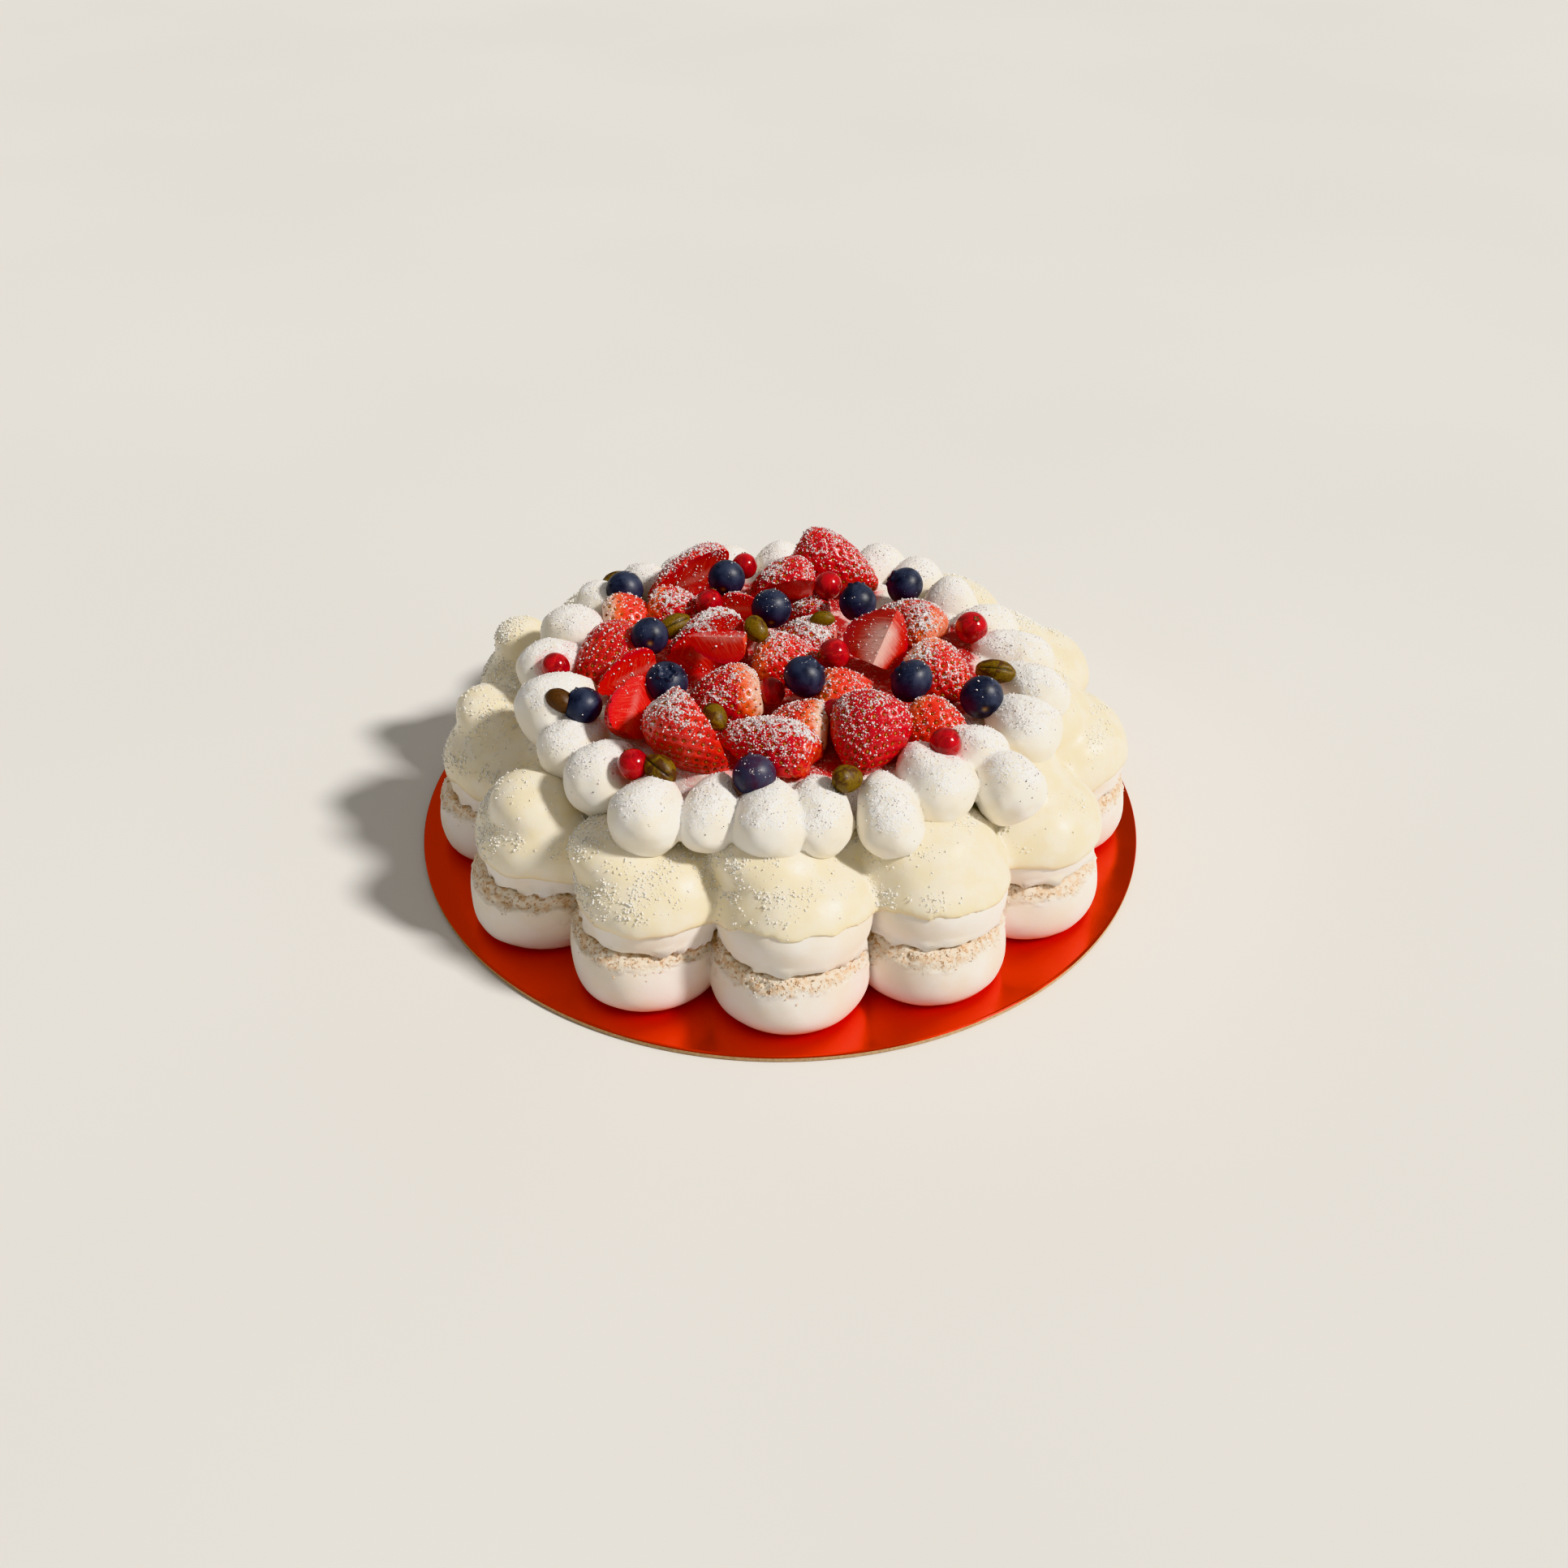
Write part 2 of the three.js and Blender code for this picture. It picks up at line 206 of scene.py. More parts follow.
# Berries and nuts: middle (x, y, z), length, width, turn and tilt. Turn and tilt point a
# blueberry's crown and a redcurrant's dried flower. A blueberry's last two numbers are how
# purple it is and how much icing sugar lies on it, each from 0 to 1.
BLUEBERRIES = [
    (-56, 34, 72, 13.5, 13.5, 100, 10, 0, 0.08),
    (-19, 28, 80, 12.8, 13.3, 80, 10, 0, 0.08),
    (-3, 7, 80, 13.2, 14, 90, 20, 0, 0.3),
    (27, 11, 80, 13.6, 13, 100, 50, 0, 0.08),
    (45, 33, 74, 12.6, 13.5, 170, 30, 0, 0.08),
    (-44, -11, 80, 12.4, 12.8, 95, -7, 0, 0.08),
    (-37, -38, 79, 12.6, 14.2, 280, 65, 0, 0.08),
    (-64, -43, 73, 12, 12.8, 160, 40, 0, 0.08),
    (8, -35, 79, 13.2, 14.3, 30, 40, 0, 0.08),
    (43, -36, 78, 13, 14.9, 150, 30, 0, 0.08),
    (66, -38, 73, 13.6, 14.4, 95, 5, 0, 0.08),
    (-8, -80, 72, 13, 13.6, 100, 20, 0.9, 0.3),
]
REDCURRANTS = [
    (-13, 44, 76, 9.5, 9.5, 90, 40),
    (17, 23, 80, 10, 10, 80, 20),
    (-25, 18, 76, 9.7, 9.7, 60, 50),
    (18, -18, 77, 10.6, 10.9, 200, 10),
    (-76, -16, 71, 9.6, 9.9, 240, -20),
    (-46, -73, 71, 10, 10.2, 120, 40),
    (-3, -33, 72, 9.6, 9.6, 90, 30),
    (18, -49, 74, 10, 10, 30, 30),
    (67, 9, 71, 11, 11.6, 300, 62),
    (52, -66, 74, 10.2, 10.5, 40, 30),
]
# A pistachio's last two numbers are its roll, and how much brown skin it keeps.
PISTACHIOS = [
    (-59, 45, 69, 14, 8, 175, 5, 0, 0.5),
    (-36, 6, 74, 13, 8, 30, 10, 40, 0.2),
    (-8, -9, 81, 10.5, 7.6, 300, -20, 90, 0.3),
    (15, 1, 79.5, 8.5, 5.5, 350, 10, 0, 0.1),
    (-21, -53, 75, 10.5, 8, 290, -10, 70, 0.4),
    (-72, -42, 75, 11, 7.5, 150, 10, 20, 0.9),
    (-37, -76, 71, 12, 8.6, 320, -15, 40, 0.5),
    (73, -21, 72, 13.6, 8, 348, 0, 40, 0.4),
    (20, -82, 72, 11.5, 8.6, 230, 25, 160, 0.4),
]
# Strawberries: middle, length, width, turn, tilt, roll and cut, then how pale the
# shoulder is, how ripe the skin is and how much icing sugar lies on it, each from 0 to 1.
STRAWBERRIES = [
    (-34, 43, 75, 36, 21, 205, -14, 70, "half", 0.2, 0.7, 0.8),
    (1, 37, 75, 26, 24, 190, 0, 50, "half", 0.1, 0.8, 0.8),
    (20, 47, 75, 36, 20, 340, -22, 0, "whole", 0.1, 0.8, 0.8),
    (-54, 21, 71, 22, 20, 5, 0, 0, "half", 1.0, 0.3, 0.3),
    (-37, 22, 73, 23, 17, 345, -5, 15, "half", 0.6, 0.7, 0.8),
    (-59, -8, 73, 30, 27, 215, -12, 10, "half", 0.15, 0.65, 0.4),
    (-51, -24, 73.5, 24, 14, 206, -14, 105, "half", 0.05, 0.5, 0.2),
    (-49.5, -46, 74, 23, 16.5, 73, 34, 228, "half", 0.05, 0.7, 0.15),
    (-32.4, -61.8, 72.2, 34.6, 31, 323, -43, 113, "half", 0.0, 0.55, 0.9),
    (-18, -33, 73, 27, 23, 190, -5, 350, "half", 0.8, 0.8, 0.7),
    (-26, -3, 73, 31, 25, 200, -8, 90, "half", 0.2, 0.9, 1.0),
    (-20, -18, 81, 22, 17, 170, -5, 150, "quarter", 0.2, 0.5, 0.2),
    (-14, 20, 74, 16, 12, 0, 0, 270, "half", 0.1, 0.7, 0.6),
    (11, 20, 73, 16, 14, 180, 0, 0, "half", 0.1, 0.7, 0.8),
    (9, 2, 74, 24, 19, 170, 0, 0, "half", 0.2, 0.6, 0.9),
    (2, -12, 74, 26, 20, 350, 0, 10, "half", 0.6, 0.6, 0.7),
    (34, -8, 77.5, 22, 30, 47, 54, 222, "quarter", 1.0, 0.4, 0.6),
    (46.5, 13, 73.5, 29, 20, 145, 3, 0, "half", 0.6, 0.6, 1.0),
    (54, -19, 73, 27, 23, 320, -10, 0, "half", 0.9, 0.6, 0.7),
    (23, -34, 73, 26, 21, 0, -5, 0, "half", 0.5, 0.3, 0.6),
    (28, -59, 73, 28, 25, 250, -30, 0, "whole", 0.0, 1.0, 0.7),
    (-3, -61, 73, 38, 22, 154, 3, 0, "half", 0.2, 0.9, 0.9),
    (6, -51, 73, 24, 22, 170, 0, 0, "half", 1.0, 0.4, 0.7),
    (51, -49, 72, 23, 20, 330, -5, 5, "half", 0.6, 0.4, 0.5),
]
# The turns of the cuts through a strawberry's long axis, and how far that axis then lies
# from the piece's middle, as a share of its width.
CUTS = {"whole": ((), 0), "half": ((0,), 0.24), "quarter": ((-45, 45), 0.3)}
# How much narrower a strawberry gets towards its tip, and broader towards its shoulder.
SHOULDER = 0.3

# ------------------------------------------------------------------ random fields

# Large odd numbers that scatter the bits of a cell's own numbers and of the seed, and the
# 32 bits that are kept.
HASH_FACTORS = (374761393, 668265263, 1274126177)
HASH_SEED_FACTOR = 974634777
HASH_STIR = 1103515245
HASH_BITS = 0xFFFFFFFF


def hashed(cells, seed):
    """A random number from 0 to 1 for each whole-numbered cell."""
    number = sum(cells[..., i] * HASH_FACTORS[i] for i in range(3))
    number = (number + seed * HASH_SEED_FACTOR) & HASH_BITS
    number = ((number ^ (number >> 13)) * HASH_STIR) & HASH_BITS
    return (number ^ (number >> 16)) / HASH_BITS


def mix_corners(cell, part, values_at):
    """Values between the eight corners of each cell, at these parts of its sides."""
    total = 0
    for corner in itertools.product((0, 1), repeat=3):
        share = np.prod(np.where(corner, part, 1 - part), axis=-1)
        total = total + share * values_at(cell + np.array(corner))
    return total


def noise(points, size, seed):
    """Smooth random values from -1 to 1, in lumps about `size` across."""
    scaled = np.asarray(points, dtype=float) / size
    cell = np.floor(scaled).astype(np.int64)
    part = ease(0, 1, scaled - cell)
    return 2 * mix_corners(cell, part, lambda cells: hashed(cells, seed)) - 1


def layered_noise(points, size, seed):
    """Noise with two finer and fainter layers on top of it."""
    return sum(noise(points, size / 2**i, seed + i) / 2**i for i in range(3))


def ease(low, high, values):
    """Goes smoothly from 0 at `low` to 1 at `high`."""
    share = np.clip((values - low) / (high - low), 0, 1)
    return share * share * (3 - 2 * share)


# ------------------------------------------------------------------ solid fields


def soft_min(a, b, blend):
    """The lower of two distances, with a rounded crease about `blend` wide."""
    share = np.clip(0.5 + 0.5 * (b - a) / blend, 0, 1)
    return b + (a - b) * share - blend * share * (1 - share)


def polar(turn, radius, centre=(0, 0)):
    """The x and y of a place at a turn in radians round a centre."""
    return centre[0] + radius * np.cos(turn), centre[1] + radius * np.sin(turn)


def oval_distance(a, b, half_a, half_b):
    """About how far points lie outside an ellipse with these half axes."""
    near = np.hypot(a / half_a, b / half_b) + 1e-6
    steep = np.hypot(a / half_a**2, b / half_b**2) + 1e-6
    return near * (near - 1) / steep


def lobe_distance(points, tier, lobe):
    """How far points lie outside one lobe, which may be flat above and below."""
    x, y = polar(FIRST_LOBE + lobe * LOBE_STEP, tier["ring"], tier["centre"])
    above = points[..., 2] > tier["waist"]
    edge = np.where(above, tier["flat_above"], tier["flat_below"])
    span = np.where(above, tier["height"] - tier["waist"], tier["waist"])
    swell = (tier["radius"] - edge) * LOBE_SIZES[lobe]
    out = np.hypot(points[..., 0] - x, points[..., 1] - y) - edge * LOBE_SIZES[lobe]
    return oval_distance(np.maximum(out, 0), points[..., 2] - tier["waist"], swell, span)


def cap_distance(points, tier, lobe):
    """How far points lie outside the small lobe on an upper one."""
    shift, ring, radius, half, middle = np.moveaxis(CAPS[lobe], -1, 0)
    turn = FIRST_LOBE + lobe * LOBE_STEP + np.radians(shift)
    x, y = polar(turn, ring, tier["centre"])
    out = np.hypot(points[..., 0] - x, points[..., 1] - y)
    return oval_distance(out, points[..., 2] - middle, radius, half)


def egg_distance(points, length, width, blunt):
    """How far points lie outside a body about the X axis, fat at -X if `blunt` is over 0."""
    along = np.clip(2 * points[..., 0] / length, -1, 1)
    across = (1 - blunt * along) * width / 2
    out = np.hypot(points[..., 1], points[..., 2])
    return oval_distance(points[..., 0], out, length / 2, across)


# ------------------------------------------------------------------ meshes


def unit(vectors):
    """The same vectors, made 1 long."""
    return vectors / np.maximum(np.linalg.norm(vectors, axis=-1, keepdims=True), 1e-12)


def add_object(name, data):
    """A new object in the scene."""
    made = bpy.data.objects.new(name, data)
    bpy.context.scene.collection.objects.link(made)
    return made


def write_mask(piece, mask, values):
    """Puts a named mask on a piece's points: a number or a vector for each."""
    values = np.asarray(values, dtype=np.float32)
    kind, field = ("FLOAT_VECTOR", "vector") if values.ndim > 1 else ("FLOAT", "value")
    layer = piece.data.attributes.get(mask) or piece.data.attributes.new(mask, kind, "POINT")
    layer.data.foreach_set(field, values.ravel())


def read_mask(piece, mask):
    """The numbers of a named mask on a piece's points."""
    values = np.empty(len(piece.data.vertices))
    piece.data.attributes[mask].data.foreach_get("value", values)
    return values


def build_mesh(name, points, faces, masks=None):
    """An object from points in millimetres, its faces and its named masks."""
    faces = faces.tolist() if isinstance(faces, np.ndarray) else faces
    mesh = bpy.data.meshes.new(name)
    mesh.from_pydata(np.asarray(points) * MM, [], faces)
    mesh.validate()
    mesh.polygons.foreach_set("use_smooth", np.full(len(mesh.polygons), True))
    made = add_object(name, mesh)
    for mask, values in (masks or {}).items():
        write_mask(made, mask, values)
    return made


def dress(piece, slot, *nodes):
    """Hands a finished piece to the frame, with the CAD nodes that it stands for."""
    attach(piece, "root")
    if nodes:
        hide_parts(*nodes)
    return piece


def ring_faces(columns, rows):
    """Quads of a grid of points [column, row] that closes on itself round its columns."""
    column, row = np.meshgrid(np.arange(columns), np.arange(rows - 1), indexing="ij")
    after = (column + 1) % columns
    corners = [(column, row), (after, row), (after, row + 1), (column, row + 1)]
    return np.stack([a * rows + b for a, b in corners], axis=-1).reshape(-1, 4).tolist()


def cap_faces(columns, rows, row, tip, up):
    """Triangles from one row of such a grid to a single point."""
    here = [column * rows + row for column in range(columns)]
    pairs = zip(here, here[1:] + here[:1])
    return [(a, b, tip) if up else (b, a, tip) for a, b in pairs]


def closed_faces(columns, rows):
    """All faces of such a grid with two more points, one beyond either end."""
    first = columns * rows
    faces = ring_faces(columns, rows) + cap_faces(columns, rows, 0, first, False)
    return faces + cap_faces(columns, rows, rows - 1, first + 1, True)


def grid_normals(grid):
    """The outward direction at each point of a grid that closes round its columns."""
    round_it = np.roll(grid, -1, axis=0) - np.roll(grid, 1, axis=0)
    return unit(np.cross(round_it, np.gradient(grid, axis=1)))


def rays_meet(field, starts, ways, longest=60.0, step=1.0):
    """The reach of each ray to the outermost place where it enters a solid field."""
    reach = np.zeros(ways.shape[:-1])
    found = np.zeros(ways.shape[:-1], dtype=bool)
    for distance in np.arange(longest, 0, -step):
        inside = field(starts + ways * distance) < 0
        reach = np.where(inside & ~found, distance, reach)
        found |= inside
        if found.all():
            break
    low, high = reach, reach + step
    for _ in range(9):
        middle = (low + high) / 2
        inside = field(starts + ways * middle[..., None]) < 0
        low, high = np.where(inside, middle, low), np.where(inside, high, middle)
    return low


def net_surface(values, low, cell):
    """The zero surface of values on a grid, as points and quads (surface nets)."""
    inside = values < 0
    shape = np.array(values.shape) - 1
    offsets = np.array(list(itertools.product((0, 1), repeat=3)))

    def corner(array, offset):
        return array[tuple(slice(o, o + n) for o, n in zip(offset, shape))]

    full = np.all([corner(inside, o) for o in offsets], axis=0)
    empty = ~np.any([corner(inside, o) for o in offsets], axis=0)
    cells = np.argwhere(~full & ~empty)
    total, count = np.zeros(cells.shape), np.zeros(len(cells))
    for start in offsets:
        for axis in np.flatnonzero(start == 0):
            end = start + np.eye(3, dtype=int)[axis]
            a, b = values[tuple((cells + start).T)], values[tuple((cells + end).T)]
            crossed = (a < 0) != (b < 0)
            share = a / np.where(crossed, a - b, 1)
            place = start + share[:, None] * (end - start)
            total += np.where(crossed[:, None], place, 0)
            count += crossed
    points = low + cell * (cells + total / count[:, None])

    number = np.full(shape, -1)
    number[tuple(cells.T)] = np.arange(len(cells))
    quads = []
    for axis in range(3):
        one, b, c = np.roll(np.eye(3, dtype=int), -axis, axis=0)
        ends = tuple(slice(o, None) for o in one)
        starts = tuple(slice(None, -1) if o else slice(None) for o in one)
        edges = np.argwhere(inside[starts] != inside[ends])
        edges = edges[np.all((edges >= b + c) & (edges < shape), axis=1)]
        around = [number[tuple((edges - s).T)] for s in (b + c, c, 0 * c, b)]
        quad = np.stack(around, axis=1)
        flip = ~inside[tuple(edges.T)]
        quad[flip] = quad[flip][:, ::-1]
        quads.append(quad)
    return points, np.concatenate(quads)


def grid_sample(values, low, cell, points):
    """Values between the points of a grid."""
    place = (points - low) / cell
    first = np.clip(np.floor(place).astype(int), 0, np.array(values.shape) - 2)
    return mix_corners(first, place - first, lambda cells: values[tuple(cells.T)])


def settle(points, quads, values, low, cell, rounds=2):
    """Evens out a net's points and puts them back on the surface. Gives normals too."""
    edges = np.concatenate([quads[:, [i, (i + 1) % 4]] for i in range(4)])
    step = 0.5 * cell

    def slope_at(places):
        sides = [
            grid_sample(values, low, cell, places + step * way)
            - grid_sample(values, low, cell, places - step * way)
            for way in np.eye(3)
        ]
        slope = np.stack(sides, axis=1) / (2 * step)
        return slope, np.linalg.norm(slope, axis=1, keepdims=True) + 1e-9

    for _ in range(rounds):
        total, count = np.zeros(points.shape), np.zeros(len(points))
        np.add.at(total, edges[:, 0], points[edges[:, 1]])
        np.add.at(total, edges[:, 1], points[edges[:, 0]])
        np.add.at(count, edges.ravel(), 1)
        points = 0.5 * points + 0.5 * total / count[:, None]
        slope, size = slope_at(points)
        off = grid_sample(values, low, cell, points)[:, None]
        points = points - np.clip(off / size, -step, step) * slope / size
    slope, size = slope_at(points)
    return points, slope / size


def net_grid(table):
    """The places of a cubic grid in a table's box, its lowest corner and its cell."""
    cell = table["cell"]
    low, high = np.array(table["box"], dtype=float)
    count = np.ceil((high - low) / cell).astype(int)
    axes = [low[i] + cell * np.arange(count[i]) for i in range(3)]
    return np.stack(np.meshgrid(*axes, indexing="ij"), axis=-1), low, cell


def net_skin(values, low, cell):
    """The evened zero surface of values on a grid: its points, normals and quads."""
    points, quads = net_surface(values, low, cell)
    return *settle(points, quads, values, low, cell), quads


def read_points(mesh, field):
    """The places or the normals of a mesh's points, as Blender keeps them."""
    values = np.empty(len(mesh.vertices) * 3)
    mesh.vertices.foreach_get(field, values)
    return values.reshape(-1, 3)


def mesh_triangles(piece):
    """A piece's points in millimetres, their normals, and its triangles."""
    mesh = piece.data
    mesh.calc_loop_triangles()
    triangles = np.empty(len(mesh.loop_triangles) * 3, dtype=int)
    mesh.loop_triangles.foreach_get("vertices", triangles)
    points, normals = read_points(mesh, "co") / MM, read_points(mesh, "normal")
    return points, normals, triangles.reshape(-1, 3)


def spread(points, normals, triangles, weight, count, random):
    """Random places on a surface, thicker where the weight is higher."""
    a, b, c = (points[triangles[:, i]] for i in range(3))
    area = np.linalg.norm(np.cross(b - a, c - a), axis=1) / 2
    share = area * weight[triangles].mean(axis=1)
    pick = random.choice(len(triangles), count, p=share / share.sum())
    s, t = random.random(count), random.random(count)
    s, t = np.where(s + t > 1, 1 - s, s), np.where(s + t > 1, 1 - t, t)
    u = 1 - s - t
    corners = triangles[pick]
    mixed = [
        sum(w[:, None] * field[corners[:, i]] for i, w in enumerate((u, s, t)))
        for field in (points, normals)
    ]
    return mixed[0], unit(mixed[1])


def random_turns(count, random):
    """Random rotations as matrices."""
    w, x, y, z = unit(random.normal(size=(count, 4))).T
    rows = [
        (1 - 2 * (y * y + z * z), 2 * (x * y - z * w), 2 * (x * z + y * w)),
        (2 * (x * y + z * w), 1 - 2 * (x * x + z * z), 2 * (y * z - x * w)),
        (2 * (x * z - y * w), 2 * (y * z + x * w), 1 - 2 * (x * x + y * y)),
    ]
    return np.moveaxis(np.array(rows), -1, 0)


def copy_grains(name, shapes, places, turns, sizes):
    """One mesh of many grains: each place gets one of the shapes, turned and sized."""
    points, faces, start = [], [], 0
    for number, (shape, shape_faces) in enumerate(shapes):
        mine = slice(number, None, len(shapes))
        grains = np.einsum("nij,nj,vj->nvi", turns[mine], sizes[mine], shape)
        grains = grains + places[mine][:, None, :]
        first = start + np.arange(len(grains))[:, None, None] * len(shape)
        faces.append((first + shape_faces[None]).reshape(-1, 3))
        points.append(grains.reshape(-1, 3))
        start += grains.shape[0] * grains.shape[1]
    return build_mesh(name, np.concatenate(points), np.concatenate(faces))


def hull(points):
    """The convex body round some points: its points, its triangles and the points' numbers."""
    shell = bmesh.new()
    number = shell.verts.layers.int.new("number")
    for count, point in enumerate(points):
        shell.verts.new(point)[number] = count
    bmesh.ops.convex_hull(shell, input=shell.verts)
    loose = [v for v in shell.verts if not v.link_faces]
    bmesh.ops.delete(shell, geom=loose, context="VERTS")
    shell.verts.index_update()
    bmesh.ops.recalc_face_normals(shell, faces=shell.faces)
    places = np.array([v.co for v in shell.verts])
    kept = np.array([v[number] for v in shell.verts])
    faces = np.array([[v.index for v in f.verts] for f in shell.faces])
    shell.free()
    return places, faces, kept


def grain_shapes(corners, random):
    """Eight crystal-like bodies about 1 across."""
    shapes = []
    for _ in range(8):
        ways = unit(random.normal(size=(corners, 3)))
        shapes.append(hull(ways * random.uniform(0.38, 0.55, (corners, 1)))[:2])
    return shapes


def laid_place(row, roll=0, sunk=0):
    """Where a row of a table lays its piece, in metres."""
    x, y, z, _, width, turn, tilt = row[:7]
    angles = (math.radians(roll), -math.radians(tilt), math.radians(turn))
    turned = Euler(angles, "XYZ").to_matrix().to_4x4()
    middle = Matrix.Translation(Vector((x, y, z + CARD["thickness"])) * MM)
    return middle @ turned @ Matrix.Translation((0, 0, -sunk * width * MM))


# ------------------------------------------------------------------ node helpers


class Sketch:
    """Adds nodes to one tree and wires each one as it goes in."""

    def __init__(self, tree):
        self.tree = tree

    def add(self, kind, inputs=(), **settings):
        """Adds a node. Its inputs are pairs of a socket's name or number and a value."""
        made = self.tree.nodes.new(kind)
        for name, value in settings.items():
            setattr(made, name, value)
        for key, value in dict(inputs).items():
            if isinstance(value, bpy.types.NodeSocket):
                self.tree.links.new(value, made.inputs[key])
            else:
                made.inputs[key].default_value = value
        return made

    def group(self, name, inputs):
        """Places a node group, and gives its outputs."""
        tree = bpy.data.node_groups[name]
        return self.add("ShaderNodeGroup", inputs, node_tree=tree).outputs

    def math(self, operation, *values):
        """One sum, product or the like of numbers and sockets."""
        return self.add("ShaderNodeMath", enumerate(values), operation=operation).outputs[0]

    def mix(self, share, a, b):
        """A colour between two others."""
        inputs = {0: share, 6: a, 7: b}
        return self.add("ShaderNodeMix", inputs, data_type="RGBA").outputs[2]

    def mix_value(self, share, a, b):
        """A number between two others."""
        return self.add("ShaderNodeMix", {0: share, 2: a, 3: b}).outputs[0]

    def step(self, value, low, high, bottom=0.0, top=1.0):
        """A smooth change from `bottom` at `low` to `top` at `high`."""
        inputs = {0: value, 1: low, 2: high, 3: bottom, 4: top}
        return self.add("ShaderNodeMapRange", inputs, interpolation_type="SMOOTHSTEP").outputs[0]

    def mask(self, name):
        """A mask that the mesh carries, as a number."""
        return self.add("ShaderNodeAttribute", attribute_name=name).outputs["Fac"]

    def body_place(self):
        """Where a point of a berry lay along, across and up before the berry was laid."""
        place = self.add("ShaderNodeAttribute", attribute_name="flesh").outputs["Vector"]
        return self.add("ShaderNodeSeparateXYZ", {0: place}).outputs

    def millimetres(self):
        """The object's own coordinates in millimetres."""
        place = self.add("ShaderNodeTexCoord").outputs["Object"]
        return self.add("ShaderNodeVectorMath", {0: place, 3: 1 / MM}, operation="SCALE").outputs[0]

    def noise(self, place, size, detail=2.0, roughness=0.5, distortion=0.0):
        """Noise in lumps of about this many millimetres."""
        inputs = {"Vector": place, "Detail": detail, "Roughness": roughness}
        inputs["Distortion"] = distortion
        if isinstance(size, bpy.types.NodeSocket):
            inputs["Scale"] = self.math("DIVIDE", 1.0, size)
        else:
            inputs["Scale"] = 1 / size
        return self.add("ShaderNodeTexNoise", inputs).outputs[0]

    def bump(self, height, distance, normal=None):
        """A normal from a height, of which 1 stands this many millimetres proud."""
        inputs = {"Height": height, "Distance": distance * MM, "Strength": 1.0}
        if normal is not None:
            inputs["Normal"] = normal
        return self.add("ShaderNodeBump", inputs).outputs["Normal"]


def make_group(name, inputs, outputs, draw):
    """Makes a node group. `draw` gets a sketch and the inputs, and gives the outputs."""
    tree = bpy.data.node_groups.new(name, "ShaderNodeTree")
    kinds = {"colour": "NodeSocketColor", "value": "NodeSocketFloat"}
    for label, kind, default in inputs:
        socket = tree.interface.new_socket(label, in_out="INPUT", socket_type=kinds[kind])
        socket.default_value = default
    for label, kind in outputs:
        tree.interface.new_socket(label, in_out="OUTPUT", socket_type=kinds[kind])
    sketch = Sketch(tree)
    sockets = sketch.add("NodeGroupInput").outputs
    results = draw(sketch, sockets)
    end = sketch.add("NodeGroupOutput")
    for label, result in results.items():
        tree.links.new(result, end.inputs[label])


def draw_mottle(sketch, inputs):
    """Two colours in soft patches, with finer ones inside them."""
    place = sketch.millimetres()
    broad = sketch.noise(place, inputs["Size"], detail=3.0)
    share = sketch.step(broad, 0.35, 0.65)
    return {"Colour": sketch.mix(share, inputs["First"], inputs["Second"])}


def draw_grain(sketch, inputs):
    """A dry, finely grained surface."""
    return {"Height": sketch.noise(sketch.millimetres(), inputs["Size"], 4.0, 0.65)}


def draw_dusting(sketch, inputs):
    """Icing sugar in small ragged clumps, more of it where the amount is higher."""
    place = sketch.millimetres()
    fine = sketch.noise(place, inputs["Size"], detail=3.0, roughness=0.7)
    clumps = sketch.noise(place, sketch.math("MULTIPLY", inputs["Size"], 3.0))
    heap = sketch.mix_value(0.25, fine, clumps)
    level = sketch.math("MULTIPLY_ADD", inputs["Amount"], -0.26, 0.67)
    above = sketch.math("SUBTRACT", heap, level)
    return {
        "Mask": sketch.step(above, -0.005, 0.03),
        "Height": sketch.step(above, -0.02, 0.14),
    }


def make_groups():
    """The effects that more than one finish uses."""
    size = ("Size", "value", 1.0)
    colours = [("First", "colour", (1, 1, 1, 1)), ("Second", "colour", (1, 1, 1, 1))]
    make_group("Mottle", [*colours, size], [("Colour", "colour")], draw_mottle)
    make_group("Grain", [size], [("Height", "value")], draw_grain)
    amount = ("Amount", "value", 0.5)
    outputs = [("Mask", "value"), ("Height", "value")]
    make_group("Sugar dusting", [amount, size], outputs, draw_dusting)


def finish_named(name, draw):
    """A material, drawn once by a function that gives the shader's inputs."""
    name = f"{name}_finish"
    if name in bpy.data.materials:
        return bpy.data.materials[name]
    material = bpy.data.materials.new(name)
    material.use_nodes = True
    material.node_tree.nodes.clear()
    sketch = Sketch(material.node_tree)
    shader = sketch.add("ShaderNodeBsdfPrincipled", draw(sketch))
    sketch.add("ShaderNodeOutputMaterial", {"Surface": shader.outputs[0]})
    return material


def rgb(colour):
    """A colour with the alpha that a socket wants."""
    return (*colour[:3], 1.0)


def settings():
    """What the user set in the sidebar."""
    return bpy.context.scene.pavlova


# ------------------------------------------------------------------ finishes

# Colours that the sidebar doesn't show.
FIBRE = (0.42, 0.27, 0.15, 1)
CREAM_SUGAR = (0.97, 0.96, 0.95, 1)
SEED_TAN, SEED_BROWN = (0.5, 0.22, 0.035, 1), (0.26, 0.04, 0.012, 1)
STEM_SCAR = (0.3, 0.2, 0.11, 1)
BERRY_LINES = (0.75, 0.08, 0.06, 1)
DRY_DARK, DRY_LIGHT = (0.1, 0.05, 0.025, 1), (0.24, 0.14, 0.07, 1)
HUSK_LIGHT = (0.1, 0.045, 0.015, 1)
# Near-black painted shade in a pistachio's crease.
NUT_CREASE_SHADE = (0.012, 0.008, 0.004, 1)
COARSE_WHITE, COARSE_CREAM = (1.0, 0.99, 0.96, 1), (0.97, 0.95, 0.9, 1)
ICING_SHADE = (0.85, 0.82, 0.82, 1)
